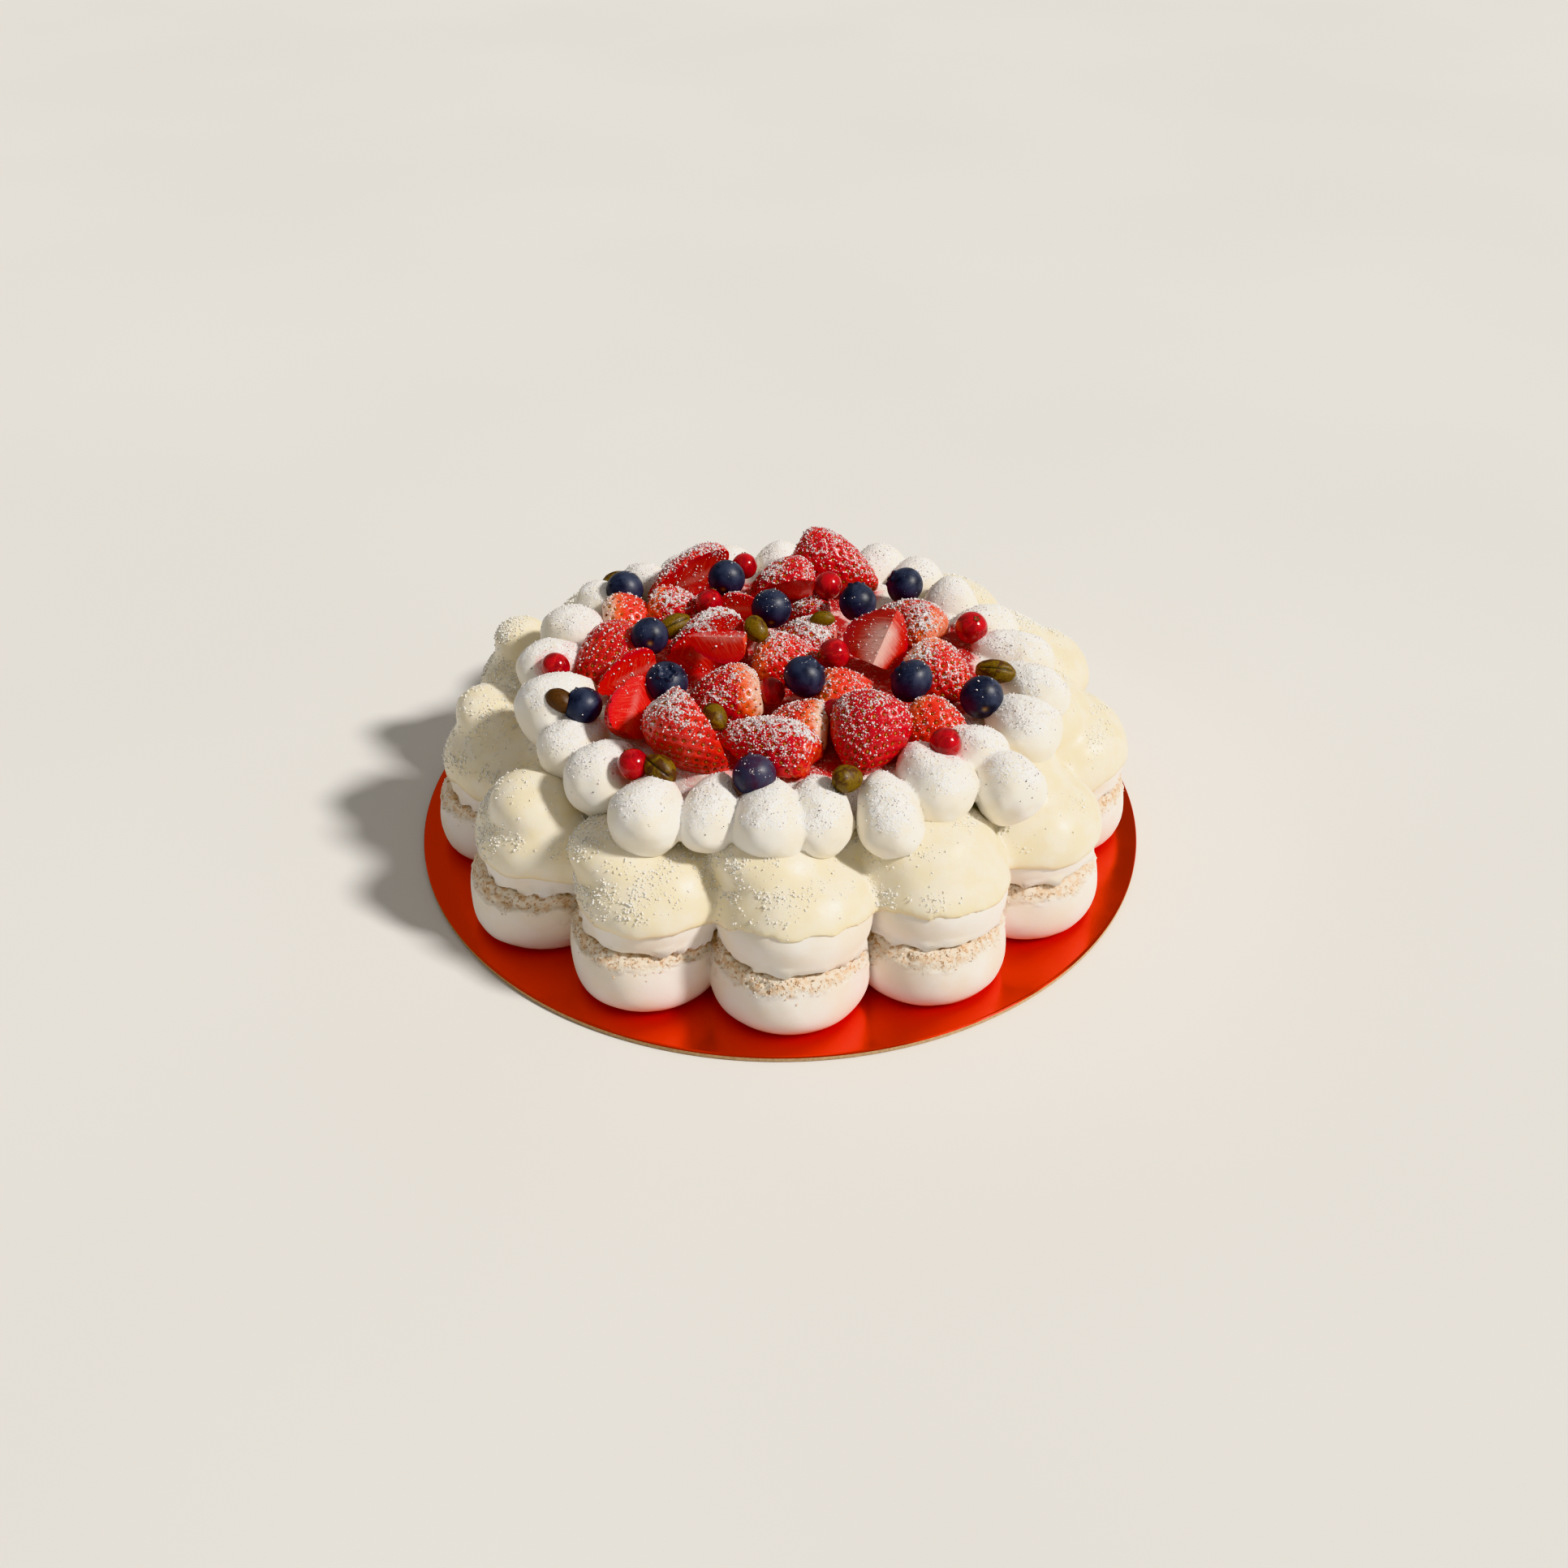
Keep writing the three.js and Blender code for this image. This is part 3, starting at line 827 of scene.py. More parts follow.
VANILLA_DARK, VANILLA_BROWN = (0.035, 0.02, 0.012, 1), (0.13, 0.08, 0.04, 1)


def mottled(sketch, first, second, size):
    """Two of the user's colours in soft patches."""
    inputs = {"First": rgb(first), "Second": rgb(second), "Size": size}
    return sketch.group("Mottle", inputs)[0]


def grained(sketch, size, distance, normal):
    """Adds a dry grain to a normal."""
    return sketch.bump(sketch.group("Grain", {"Size": size})[0], distance, normal)


def two_tone(sketch, size, soft, colours, roughness, detail=2.0):
    """A plain surface in patches of two colours, whose edges `soft` widens."""
    share = sketch.noise(sketch.millimetres(), size, detail)
    share = sketch.step(share, 0.5 - soft, 0.5 + soft)
    return {"Base Color": sketch.mix(share, *colours), "Roughness": roughness}


def depth(weight, radius, millimetres):
    """Light that goes into the surface and comes out again beside it."""
    return {
        "Subsurface Weight": weight,
        "Subsurface Radius": radius,
        "Subsurface Scale": millimetres * MM,
    }


def draw_foil(sketch):
    """Red metallic foil over card, a little wavy."""
    place = sketch.millimetres()
    waves = sketch.noise(place, 26.0, detail=1.0)
    grain = sketch.noise(place, 0.5, detail=1.0)
    polish = sketch.noise(place, 14.0, detail=3.0)
    return {
        "Base Color": rgb(settings().card.foil_colour),
        "Metallic": 1.0,
        "Roughness": sketch.step(polish, 0.3, 0.7, 0.17, 0.27),
        "Normal": sketch.bump(grain, 0.012, sketch.bump(waves, 0.5)),
    }


def draw_card_edge(sketch):
    """The bare cut edge and underside of the card."""
    place = sketch.millimetres()
    fibres = sketch.noise(place, 0.8, detail=4.0, roughness=0.7)
    colour = rgb(settings().card.edge_colour)
    share = sketch.step(fibres, 0.35, 0.7)
    return {
        "Base Color": sketch.mix(share, colour, FIBRE),
        "Roughness": 0.8,
        "Normal": sketch.bump(fibres, 0.05),
    }


def draw_meringue(sketch):
    """Dry baked meringue, with open tan crumb where the mesh says so. Its sunken pits are darker,
    partly browning and partly painted shade.
    """
    place = sketch.millimetres()
    look = settings().meringue
    smooth = mottled(sketch, look.colour, look.warm_colour, 15.0)
    crumb = sketch.noise(place, 0.9, detail=5.0, roughness=0.75)
    ragged = sketch.math("MULTIPLY_ADD", crumb, 1.6, -0.8)
    open_crumb = sketch.step(sketch.math("ADD", sketch.mask("toast"), ragged), 0.2, 0.75)
    # Darker pits, sunk by the bump below: partly browned crumb, partly painted shade.
    pits = sketch.step(sketch.noise(place, 1.1, detail=3.0, roughness=0.6), 0.56, 0.66)
    dark = sketch.math("MULTIPLY", pits, sketch.step(open_crumb, 0.5, 1.0))
    brown = sketch.step(sketch.noise(place, 2.2, detail=3.0, roughness=0.6), 0.42, 0.62)
    baked = sketch.mix(brown, rgb(look.crumb_colour), rgb(look.toast_colour))
    toasted_and_shaded = sketch.mix(dark, baked, rgb(look.pit_toast_and_shade_colour))
    height = sketch.math("MULTIPLY", crumb, open_crumb)
    rough = sketch.bump(sketch.math("SUBTRACT", height, dark), 0.22)
    return {
        "Base Color": sketch.mix(open_crumb, smooth, toasted_and_shaded),
        "Roughness": 0.75,
        "Normal": grained(sketch, 0.7, 0.05, rough),
        **depth(0.12, (1.0, 0.75, 0.5), 2),
    }


def draw_white_chocolate(sketch):
    """A thin satin coat, yellower and darker where it has pooled. In the creases between the lobes
    this is partly thick coat and partly painted warm shade.
    """
    place = sketch.millimetres()
    look = settings().meringue
    thin = mottled(sketch, look.coat_colour, look.coat_pale_colour, 9.0)
    dimples = sketch.noise(place, 3.5)
    return {
        "Base Color": sketch.mix(sketch.mask("pool"), thin, rgb(look.pool_and_shade_colour)),
        "Roughness": sketch.step(dimples, 0.3, 0.7, 0.34, 0.46),
        "Coat Weight": 0.15,
        "Coat Roughness": 0.3,
        "Normal": grained(sketch, 0.6, 0.015, sketch.bump(dimples, 0.12)),
        **depth(0.2, (1.0, 0.8, 0.4), 2),
    }


def draw_cream(sketch):
    """Whipped cream under a dust of sugar, stained pink where fruit has bled into it. On the bed
    between the fruit the deep red is partly juice and partly painted shade.
    """
    look = settings().cream
    place = sketch.millimetres()
    patches = sketch.step(sketch.noise(place, 3.0), 0.3, 0.6, 0.6, 1.1)
    # The mask is pink juice stain beside red fruit and, on the bed between the fruit, deep red that
    # is partly juice and partly painted shade in the gaps.
    stain = sketch.math("MULTIPLY", sketch.mask("stain"), patches)
    clean = mottled(sketch, look.colour, look.shade_colour, 11.0)
    pink = sketch.mix(sketch.step(stain, 0.1, 0.6), clean, rgb(look.stain_colour))
    stained_and_shaded = sketch.mix(sketch.step(stain, 0.5, 0.95), pink, rgb(look.juice_and_shade_colour))
    dust = sketch.group("Sugar dusting", {"Amount": sketch.mask("sugar"), "Size": 0.8})
    return {
        "Base Color": sketch.mix(dust["Mask"], stained_and_shaded, CREAM_SUGAR),
        "Roughness": sketch.step(dust["Mask"], 0.0, 1.0, 0.55, 0.85),
        "Normal": sketch.bump(dust["Height"], 0.12, grained(sketch, 0.5, 0.04, None)),
        **depth(0.15, (1.0, 0.85, 0.7), 2),
    }


def dusted(sketch, colour, roughness, normal):
    """Lays icing sugar over a colour, and gives the inputs that it changes."""
    dust = sketch.group("Sugar dusting", {"Amount": sketch.mask("sugar"), "Size": 0.8})
    sugar = rgb(settings().sugar.colour)
    return {
        "Base Color": sketch.mix(dust["Mask"], colour, sugar),
        "Roughness": sketch.math("MULTIPLY_ADD", dust["Mask"], 0.45, roughness),
        "Coat Weight": sketch.step(dust["Mask"], 0.0, 1.0, 0.5, 0.0),
        "Normal": sketch.bump(dust["Height"], 0.3, normal),
    }


def draw_strawberry_skin(sketch):
    """Glossy red skin, pale at the shoulder and lighter round the seed pits, with painted shade
    darkening the pits.
    """
    look = settings().fruit
    place = sketch.millimetres()
    light, dark = rgb(look.strawberry_light), rgb(look.strawberry_pit_shade)
    uneven = sketch.math("MULTIPLY_ADD", sketch.noise(place, 5.0), 0.8, -0.4)
    ripe = sketch.math("ADD", sketch.mask("ripe"), uneven)
    red = sketch.mix(sketch.step(ripe, 0.1, 0.9), light, rgb(look.strawberry_red))
    pit = sketch.mask("pit")
    outer, inner = sketch.step(pit, 0.02, 0.3), sketch.step(pit, 0.75, 0.4, 0.0, 0.35)
    rimmed = sketch.mix(sketch.math("MULTIPLY", outer, inner), red, light)
    # Painted shade: darker red in the seed pits.
    pitted = sketch.mix(sketch.step(pit, 0.4, 0.9), rimmed, dark)
    ragged = sketch.math("MULTIPLY_ADD", sketch.noise(place, 1.6, detail=4.0), 0.7, -0.35)
    streaks = sketch.math("ADD", sketch.mask("pale"), ragged)
    orange = sketch.mix(sketch.step(streaks, 0.05, 0.45), pitted, rgb(look.strawberry_orange))
    pale = sketch.mix(sketch.step(streaks, 0.4, 0.85), orange, rgb(look.strawberry_pale))
    skin = sketch.bump(sketch.noise(place, 0.6), 0.03)
    return {**dusted(sketch, pale, 0.26, skin), **depth(0.12, (1.0, 0.2, 0.1), 2)}


def draw_strawberry_flesh(sketch):
    """A wet cut face: red rim, rays towards the rim and a pale core along the middle."""
    look = settings().fruit
    parts = sketch.body_place()
    place = sketch.millimetres()
    along = parts[0]
    squares = [sketch.math("POWER", part, 2.0) for part in parts]
    out = sketch.math("SQRT", sketch.math("ADD", squares[1], squares[2]))
    room = sketch.math("MAXIMUM", sketch.math("SUBTRACT", 1.0, squares[0]), 0.02)
    taper = sketch.math("MULTIPLY_ADD", along, -SHOULDER, 1.0)
    edge = sketch.math("MULTIPLY", sketch.math("SQRT", room), taper)
    share = sketch.math("DIVIDE", out, edge)
    red = sketch.step(share, 0.78, 0.98)
    red = sketch.mix(red, rgb(look.flesh_colour), rgb(look.strawberry_red))

    ray = sketch.math("MULTIPLY", sketch.math("MULTIPLY_ADD", share, 0.4, along), 16.0)
    ray_parts = {0: ray, 1: sketch.math("MULTIPLY", share, 1.3)}
    rays = sketch.noise(sketch.add("ShaderNodeCombineXYZ", ray_parts).outputs[0], 1.0)
    pale = sketch.mask("core")
    strong = sketch.step(pale, 0.0, 0.8, 0.3, 1.0)
    clear = sketch.math("MULTIPLY", sketch.step(share, 0.95, 0.35), strong)
    ray_mask = sketch.math("MULTIPLY", sketch.step(rays, 0.48, 0.66), clear)
    rayed = sketch.mix(ray_mask, red, rgb(look.flesh_pale))

    wander = sketch.math("MULTIPLY_ADD", sketch.noise(place, 2.5), 0.2, -0.1)
    reach = sketch.math("MULTIPLY_ADD", pale, 0.5, 0.25)
    middle = sketch.math("DIVIDE", sketch.math("ADD", share, wander), reach)
    ends = sketch.step(along, 0.75, 0.2)
    core = sketch.math("MULTIPLY", sketch.step(middle, 1.0, 0.1), ends)
    core = sketch.math("MULTIPLY", core, sketch.step(pale, 0.0, 0.8, 0.15, 1.0))
    colour = sketch.mix(core, rayed, rgb(look.core_colour))
    fine = sketch.bump(sketch.noise(place, 0.7, 3.0), 0.06)
    inputs = dusted(sketch, colour, 0.2, sketch.bump(rays, 0.12, fine))
    return {**inputs, **depth(0.2, (1.0, 0.25, 0.15), 3)}


def draw_seed(sketch):
    """The small dry seeds on a strawberry."""
    return two_tone(sketch, 2.0, 0.1, (SEED_TAN, SEED_BROWN), 0.4)


def draw_blueberry(sketch):
    """Nearly black skin under a pale bloom that is rubbed off in places."""
    look = settings().fruit
    place = sketch.millimetres()
    broad = sketch.noise(place, 5.0, detail=3.0, roughness=0.6, distortion=0.4)
    fine = sketch.noise(place, 0.5, detail=3.0, roughness=0.7)
    powder = sketch.math("MULTIPLY_ADD", fine, 0.3, broad)
    bloom = sketch.step(powder, 0.38, 0.82, 0.05, 0.9)
    dark, purple = rgb(look.blueberry_dark), rgb(look.blueberry_purple)
    rubbed = sketch.mix(sketch.mask("purple"), dark, purple)
    skin = sketch.mix(bloom, rubbed, rgb(look.blueberry_bloom))
    scarred = sketch.mix(sketch.mask("scar"), skin, STEM_SCAR)
    inputs = dusted(sketch, scarred, 0.42, sketch.bump(fine, 0.04))
    inputs["Coat Weight"] = 0.05
    inputs["Coat Roughness"] = 0.35
    inputs["Specular IOR Level"] = 0.35
    return inputs


def draw_redcurrant(sketch):
    """Clear glossy skin with faint lines from end to end."""
    look = settings().fruit
    parts = sketch.body_place()
    turn = sketch.math("ARCTAN2", parts[1], parts[2])
    place = sketch.millimetres()
    wander = sketch.math("MULTIPLY_ADD", sketch.noise(place, 3.0), 1.2, turn)
    lines = sketch.math("SINE", sketch.math("MULTIPLY", wander, 9.0))
    veins = sketch.step(lines, 0.75, 1.0, 0.0, 0.25)
    glow = sketch.step(sketch.noise(place, 4.0), 0.35, 0.65, 0.0, 0.8)
    red = sketch.mix(glow, rgb(look.redcurrant_red), rgb(look.redcurrant_light))
    return {
        "Base Color": sketch.mix(veins, red, BERRY_LINES),
        "Roughness": sketch.step(sketch.noise(place, 1.0), 0.3, 0.7, 0.1, 0.2),
        "Coat Weight": 0.6,
        "Coat Roughness": 0.05,
        **depth(0.4, (1.0, 0.08, 0.05), 2.5),
    }


def draw_dried_flower(sketch):
    """The dry brown tuft at the end of a berry."""
    return two_tone(sketch, 0.6, 0.15, (DRY_DARK, DRY_LIGHT), 0.8, detail=3.0)


def draw_pistachio(sketch):
    """Green flesh under patches of brown skin with fine lines along the nut, and near-black painted
    shade in its crease.
    """
    look = settings().fruit
    place = sketch.millimetres()
    lines = sketch.noise(place, 0.6, detail=4.0, roughness=0.65)
    patches = sketch.noise(place, 3.0, detail=3.0, distortion=0.6)
    husk = sketch.math("MULTIPLY_ADD", sketch.mask("husk"), 0.5, -0.25)
    skin = sketch.step(sketch.math("ADD", patches, husk), 0.42, 0.56)
    ripe = sketch.step(lines, 0.35, 0.65)
    green = sketch.mix(ripe, rgb(look.pistachio_green), rgb(look.pistachio_yellow))
    brown = sketch.mix(ripe, rgb(look.pistachio_brown), HUSK_LIGHT)
    nut = sketch.mix(skin, green, brown)
    # Painted shade: near black in the crease along the nut.
    colour = sketch.mix(sketch.mask("crease"), nut, NUT_CREASE_SHADE)
    inputs = dusted(sketch, colour, 0.5, sketch.bump(lines, 0.12))
    inputs["Coat Weight"] = 0.05
    return inputs


def draw_coarse_sugar(sketch):
    """White sugar grains."""
    return two_tone(sketch, 0.6, 0.15, (COARSE_WHITE, COARSE_CREAM), 0.5)


def draw_icing_sugar(sketch):
    """Soft white clumps of powder."""
    fine = sketch.noise(sketch.millimetres(), 0.15)
    share = sketch.step(fine, 0.3, 0.7)
    return {
        "Base Color": sketch.mix(share, rgb(settings().sugar.colour), ICING_SHADE),
        "Roughness": 0.9,
        "Normal": sketch.bump(fine, 0.05),
    }


def draw_vanilla(sketch):
    """Dark vanilla seeds."""
    return two_tone(sketch, 3.0, 0.1, (VANILLA_DARK, VANILLA_BROWN), 0.5)


def draw_crumb(sketch):
    """Loose crumbs of meringue, some of them toasted."""
    look = settings().meringue
    return two_tone(sketch, 2.0, 0.1, (rgb(look.colour), rgb(look.toast_colour)), 0.8)


def draw_floor(sketch):
    """A plain pale matte surface."""
    colour = settings().stage.floor_colour
    shade = [0.97 * part for part in colour]
    return two_tone(sketch, 300.0, 0.2, (rgb(colour), rgb(shade)), 0.9)


# ------------------------------------------------------------------ the tiers

SECTIONS_PER_LOBE = 64
UP = np.array([0.0, 0.0, 1.0])


def closed_tier(name, grid, low, high, masks=None):
    """A tier from points [column, row] of its skin, closed at two heights on its axis."""
    middle = grid[:, 0, :2].mean(axis=0)
    points = np.concatenate([grid.reshape(-1, 3), [[*middle, low], [*middle, high]]])
    full = {key: np.append(values.ravel(), [0, 0]) for key, values in (masks or {}).items()}
    return build_mesh(name, points, closed_faces(*grid.shape[:2]), full)


def build_card():
    """The round card, with its edge and underside in the second material."""
    outline = np.array(CARD["outline"])
    turn = 2 * math.pi * np.arange(CARD["sides"]) / CARD["sides"]
    x, y = polar(turn[:, None], outline[:, 0])
    grid = np.stack([x, y, 0 * x + outline[:, 1]], axis=-1)
    piece = closed_tier("foil_card_round", grid, 0, CARD["thickness"])
    for face in piece.data.polygons:
        face.use_smooth = False
        face.material_index = int(face.center.z < CARD["foil_from"] * MM)
    return piece


def tier_sections():
    """Turns of the sections round a tier, with their lobes and nearness to a crease."""
    step = (np.arange(SECTIONS_PER_LOBE) + 0.5) / SECTIONS_PER_LOBE - 0.5
    across = 0.35 * np.sin(step * math.pi) + 0.3 * step
    lobe = np.repeat(np.arange(LOBES), SECTIONS_PER_LOBE)
    across = np.tile(across, LOBES)
    return FIRST_LOBE + (lobe + across) * LOBE_STEP, lobe, np.abs(across) * 2


def tier_distance(points, tier, lobes, blend, caps=False):
    """How far points over a tier's base lie outside its core and some of its lobes."""
    radius, height, rounding = tier["core"]
    out = np.hypot(points[..., 0] - tier["centre"][0], points[..., 1] - tier["centre"][1])
    out, up = out - radius + rounding, points[..., 2] - height + rounding
    total = np.hypot(np.maximum(out, 0), np.maximum(up, 0)) - rounding
    total = total + np.minimum(np.maximum(out, up), 0)
    for lobe in lobes:
        total = soft_min(total, lobe_distance(points, tier, lobe), blend)
    if caps:
        for lobe in lobes:
            total = soft_min(total, cap_distance(points, tier, lobe), blend)
    return total


def lumps(points, normals):
    """Moves a meringue's skin in and out by its own soft unevenness."""
    height = 0.9 * noise(points, 19, 11) + 0.35 * noise(points, 8, 12)
    height = height * ease(0, 4, points[..., 2])
    return points + normals * height[..., None]


def tier_skin(tier, rises, blend):
    """Points [section, rise] of a tier's skin over its base, for rises in degrees."""
    turn, lobe, _ = tier_sections()
    near = [((lobe + side) % LOBES)[:, None] for side in (-1, 0, 1)]

    def field(points):
        return np.maximum(tier_distance(points, tier, near, blend), -points[..., 2])

    radius, height = tier["spine"]
    out = np.stack([np.cos(turn), np.sin(turn), 0 * turn], axis=-1)[:, None, :]
    starts = np.array([*tier["centre"], height]) + out * radius
    rises = np.radians(rises)[:, None]
    ways = out * np.cos(rises) + UP * np.sin(rises)
    grid = starts + ways * rays_meet(field, starts, ways)[..., None]
    return lumps(grid, grid_normals(grid))


def build_lower_meringue():
    """The lower tier, whose lobes stand with their rough bases up."""
    sparse, dense = np.linspace(-90, 4, 25), np.linspace(6, 70, 56)
    grid = tier_skin(LOWER, np.concatenate([sparse, dense, np.linspace(75, 100, 5)]), 1.0)
    height = grid[..., 2]
    edge = height + 1.4 * noise(grid, 3.5, 21) + 1.3 * noise(grid, 11, 22)
    _, _, crease = tier_sections()
    seam = ease(0.86, 1, crease[:, None] + 0.1 * noise(grid, 3, 23)) * ease(9, 15, height)
    toast = np.maximum(ease(16.5, 22, edge), 0.5 * seam)
    flakes = layered_noise(grid * np.array([1, 1, 2.0]), 2.6, 24)
    pits = np.minimum(layered_noise(grid, 2.0, 27), 0)
    border = np.exp(-(((edge - 18.6) / 1.1) ** 2))
    relief = toast * (0.5 * flakes + 0.7 * pits - 0.2) + 0.3 * border * (1 + flakes)
    grid = grid + grid_normals(grid) * relief[..., None] + UP * LOWER["bottom"]
    top = LOWER["bottom"] + LOWER["height"]
    return closed_tier("lower_meringue_shell", grid, LOWER["bottom"], top, {"toast": toast})


def coat_edge_heights(x, y):
    """How low the coat comes at each turn round the tier, over the tier's base."""
    turn = np.arctan2(y - UPPER["centre"][1], x - UPPER["centre"][0])
    place = ((turn - FIRST_LOBE) / LOBE_STEP) % LOBES
    lobe = np.round(place).astype(int) % LOBES
    share = place - np.round(place)
    after, before = np.roll(COAT_EDGES, -1), np.roll(COAT_EDGES, 1)
    beside = np.where(share > 0, after[lobe], before[lobe])
    height = COAT_EDGES[lobe] + (beside - COAT_EDGES[lobe]) * share**2 * 2
    ring = np.stack([*polar(turn, COAT["edge_radius"]), 0 * turn], axis=-1)
    drips = 1.3 * noise(ring, 9, 31) + 0.7 * noise(ring, 3.6, 32)
    creases = ease(0.6, 1, 2 * np.abs(share))
    return height + drips - 2.5 * creases


def build_upper_meringue():
    """The bare lower part of the upper tier, with a chipped lip round its base."""
    rises = np.concatenate([np.linspace(-90, -30, 26), np.linspace(-27, 16, 16)])
    grid = tier_skin(UPPER, rises, 1.2)
    height = grid[..., 2]
    chips = ease(-0.5, 0.4, layered_noise(grid, 5, 41))
    lip = np.exp(-((height - 0.9) ** 2)) * (0.5 + 1.9 * chips)
    cracks = layered_noise(grid * np.array([1, 1, 2.5]), 2.2, 44) * ease(4, 1, height)
    grid = grid + grid_normals(grid) * (lip + 0.25 * cracks)[..., None]
    grid[..., 2] = np.maximum(grid[..., 2], 0)
    toast = 0.55 * ease(1.6, 0.2, height + 0.8 * noise(grid, 3, 47))
    grid = grid + UP * UPPER["bottom"]
    top = UPPER["bottom"] + 0.6 * UPPER["core"][1]
    return closed_tier("upper_meringue_shell", grid, UPPER["bottom"], top, {"toast": toast})


def build_coat():
    """The white chocolate coat, from its dripping edge up over the small lobes."""
    grid, low, cell = net_grid(COAT)
    lobes = range(LOBES)
    outside = tier_distance(grid, UPPER, lobes, COAT["web"], caps=True) - COAT["thickness"]
    below = coat_edge_heights(grid[:, :, :1, 0], grid[:, :, :1, 1]) - grid[..., 2]
    values = -soft_min(-outside, -below, COAT["lip"])
    x, y = UPPER["centre"]
    out = np.hypot(grid[..., 0] - x, grid[..., 1] - y)
    values = np.maximum(values, COAT["inner_radius"] - out)
    points, normals, quads = net_skin(values, low, cell)

    # Yellower, darker colour goes in the creases between lobes, partly thick pooled coat and partly
    # painted warm shade, and along the coat's thick lower edge.
    fill = tier_distance(points, UPPER, lobes, COAT["crease"], caps=True)
    fill = fill - COAT["thickness"] + 0.5 * noise(points, 6, 51)
    over_edge = points[:, 2] - coat_edge_heights(points[:, 0], points[:, 1])
    pool = np.maximum(ease(0.4, 3.0, fill), 0.5 * ease(3.5, 0.3, over_edge))
    points = lumps(points, normals) + UP * UPPER["bottom"]
    return build_mesh("white_chocolate_coat", points, quads, {"pool": pool})


# ------------------------------------------------------------------ the cream


def row_middle(row):
    """The middle of a table's piece, over the ground."""
    return np.array(row[:3]) + UP * CARD["thickness"]


def bed_distance(points):
    """How far points lie outside the bed of cream, a disc with a sloping edge."""
    x, y = BED["centre"]
    out = np.hypot(points[..., 0] - x, points[..., 1] - y)
    rise = (points[..., 2] - BED["bottom"]) / (BED["top"] - BED["bottom"])
    edge = BED["radius"] + (BED["top_radius"] - BED["radius"]) * rise
    middle, half = (BED["top"] + BED["bottom"]) / 2, (BED["top"] - BED["bottom"]) / 2
    return np.maximum(out - edge, np.abs(points[..., 2] - middle) - half)


def add_blob(values, grid, low, cell, number, row):
    """Joins one piped blob to the values of the grid that lie near it."""
    length, width = row[3:5]
    reach = length / 2 + 6
    count = np.array(grid.shape[:3])
    first = ((row_middle(row) - reach - low) / cell).astype(int)
    last = ((row_middle(row) + reach - low) / cell).astype(int) + 1
    first, last = np.clip(first, 0, count), np.clip(last, 0, count)
    box = tuple(slice(a, b) for a, b in zip(first, last))
    place = np.array(laid_place(row).inverted())
    local = grid[box] @ place[:3, :3].T + place[:3, 3] / MM
    swirl = 0.9 * noise(grid[box] + 40 * number, 10, 61) + 0.35 * noise(grid[box], 4, 65)
    blob = egg_distance(local, length, width, CREAM["blunt"]) + swirl
    values[box] = soft_min(values[box], blob, CREAM["crease"])


def build_cream():
    """The bed of cream and the ring of piped blobs, in one skin."""
    grid, low, cell = net_grid(CREAM)
    values = bed_distance(grid)
    for number, row in enumerate(BLOBS):
        add_blob(values, grid, low, cell, number, row)
    points, normals, quads = net_skin(values, low, cell)

    x, y = BED["centre"]
    out = np.hypot(points[:, 0] - x, points[:, 1] - y)
    bed = ease(BED["top"] + 1.8, BED["top"] + 0.8, points[:, 2])
    bed = bed * ease(BED["top_radius"], BED["top_radius"] - 6, out)
    # Pink juice stain on the cream beside red fruit. On the bed between the fruit the mask is full,
    # for deep red that is partly juice and partly painted shade.
    stain = np.zeros(len(points))
    for row in STRAWBERRIES + REDCURRANTS:
        away = np.linalg.norm(points - row_middle(row), axis=1) - 0.5 * row[4]
        stain = np.maximum(stain, np.maximum(0.5 * ease(5, 1, away), bed * ease(14, 6, away)))
    sugar = ease(0.25, 0.9, normals[:, 2] + 0.25 * noise(points, 6, 62)) * 0.75 + 0.1
    sugar = sugar * (1 - bed)
    powder = layered_noise(points, 1.3, 63) * sugar
    points = points + normals * (0.16 * powder + 0.12 * noise(points, 4, 64))[:, None]
    return build_mesh("cream_blobs", points, quads, {"sugar": sugar, "stain": stain})


# ------------------------------------------------------------------ berries and nuts


def round_body(name, row, angles, around, shape, roll=0):
    """A closed body about the X axis, laid where its row says. `shape` changes its points
    [around, angle], which it gets with their angles from +X and round the axis."""
    length, width = row[3:5]
    turn = 2 * math.pi * np.arange(around) / around
    angle, spin = np.meshgrid(angles, turn, indexing="xy")
    ways = [np.cos(angle), np.sin(angle) * np.cos(spin), np.sin(angle) * np.sin(spin)]
    ways = np.stack(ways, axis=-1)
    grid, masks = shape(ways * np.array([length, width, width]) / 2, angle, spin)

    def with_tips(values):
        tips = [values[:, 0].mean(axis=0), values[:, -1].mean(axis=0)]
        return np.concatenate([values.reshape(-1, *values.shape[2:]), tips])

    full = {key: with_tips(values) for key, values in masks.items()}
    full["flesh"] = points = with_tips(grid)
    faces = [face[::-1] for face in closed_faces(around, len(angles))]
    piece = build_mesh(name, points, faces, full)
    piece.data.transform(laid_place(row, roll))
    return piece


def dust_piece(piece, amount, keep=1.0):
    """Masks where icing sugar lies on a piece: on what faces up, in patches."""
    points, normals, _ = mesh_triangles(piece)
    patches = 0.65 + 0.5 * noise(points, 5, 71)
    sugar = 1.05 * amount * ease(0.05, 0.75, normals[:, 2]) * patches * keep
    write_mask(piece, "sugar", np.clip(sugar, 0, 1))


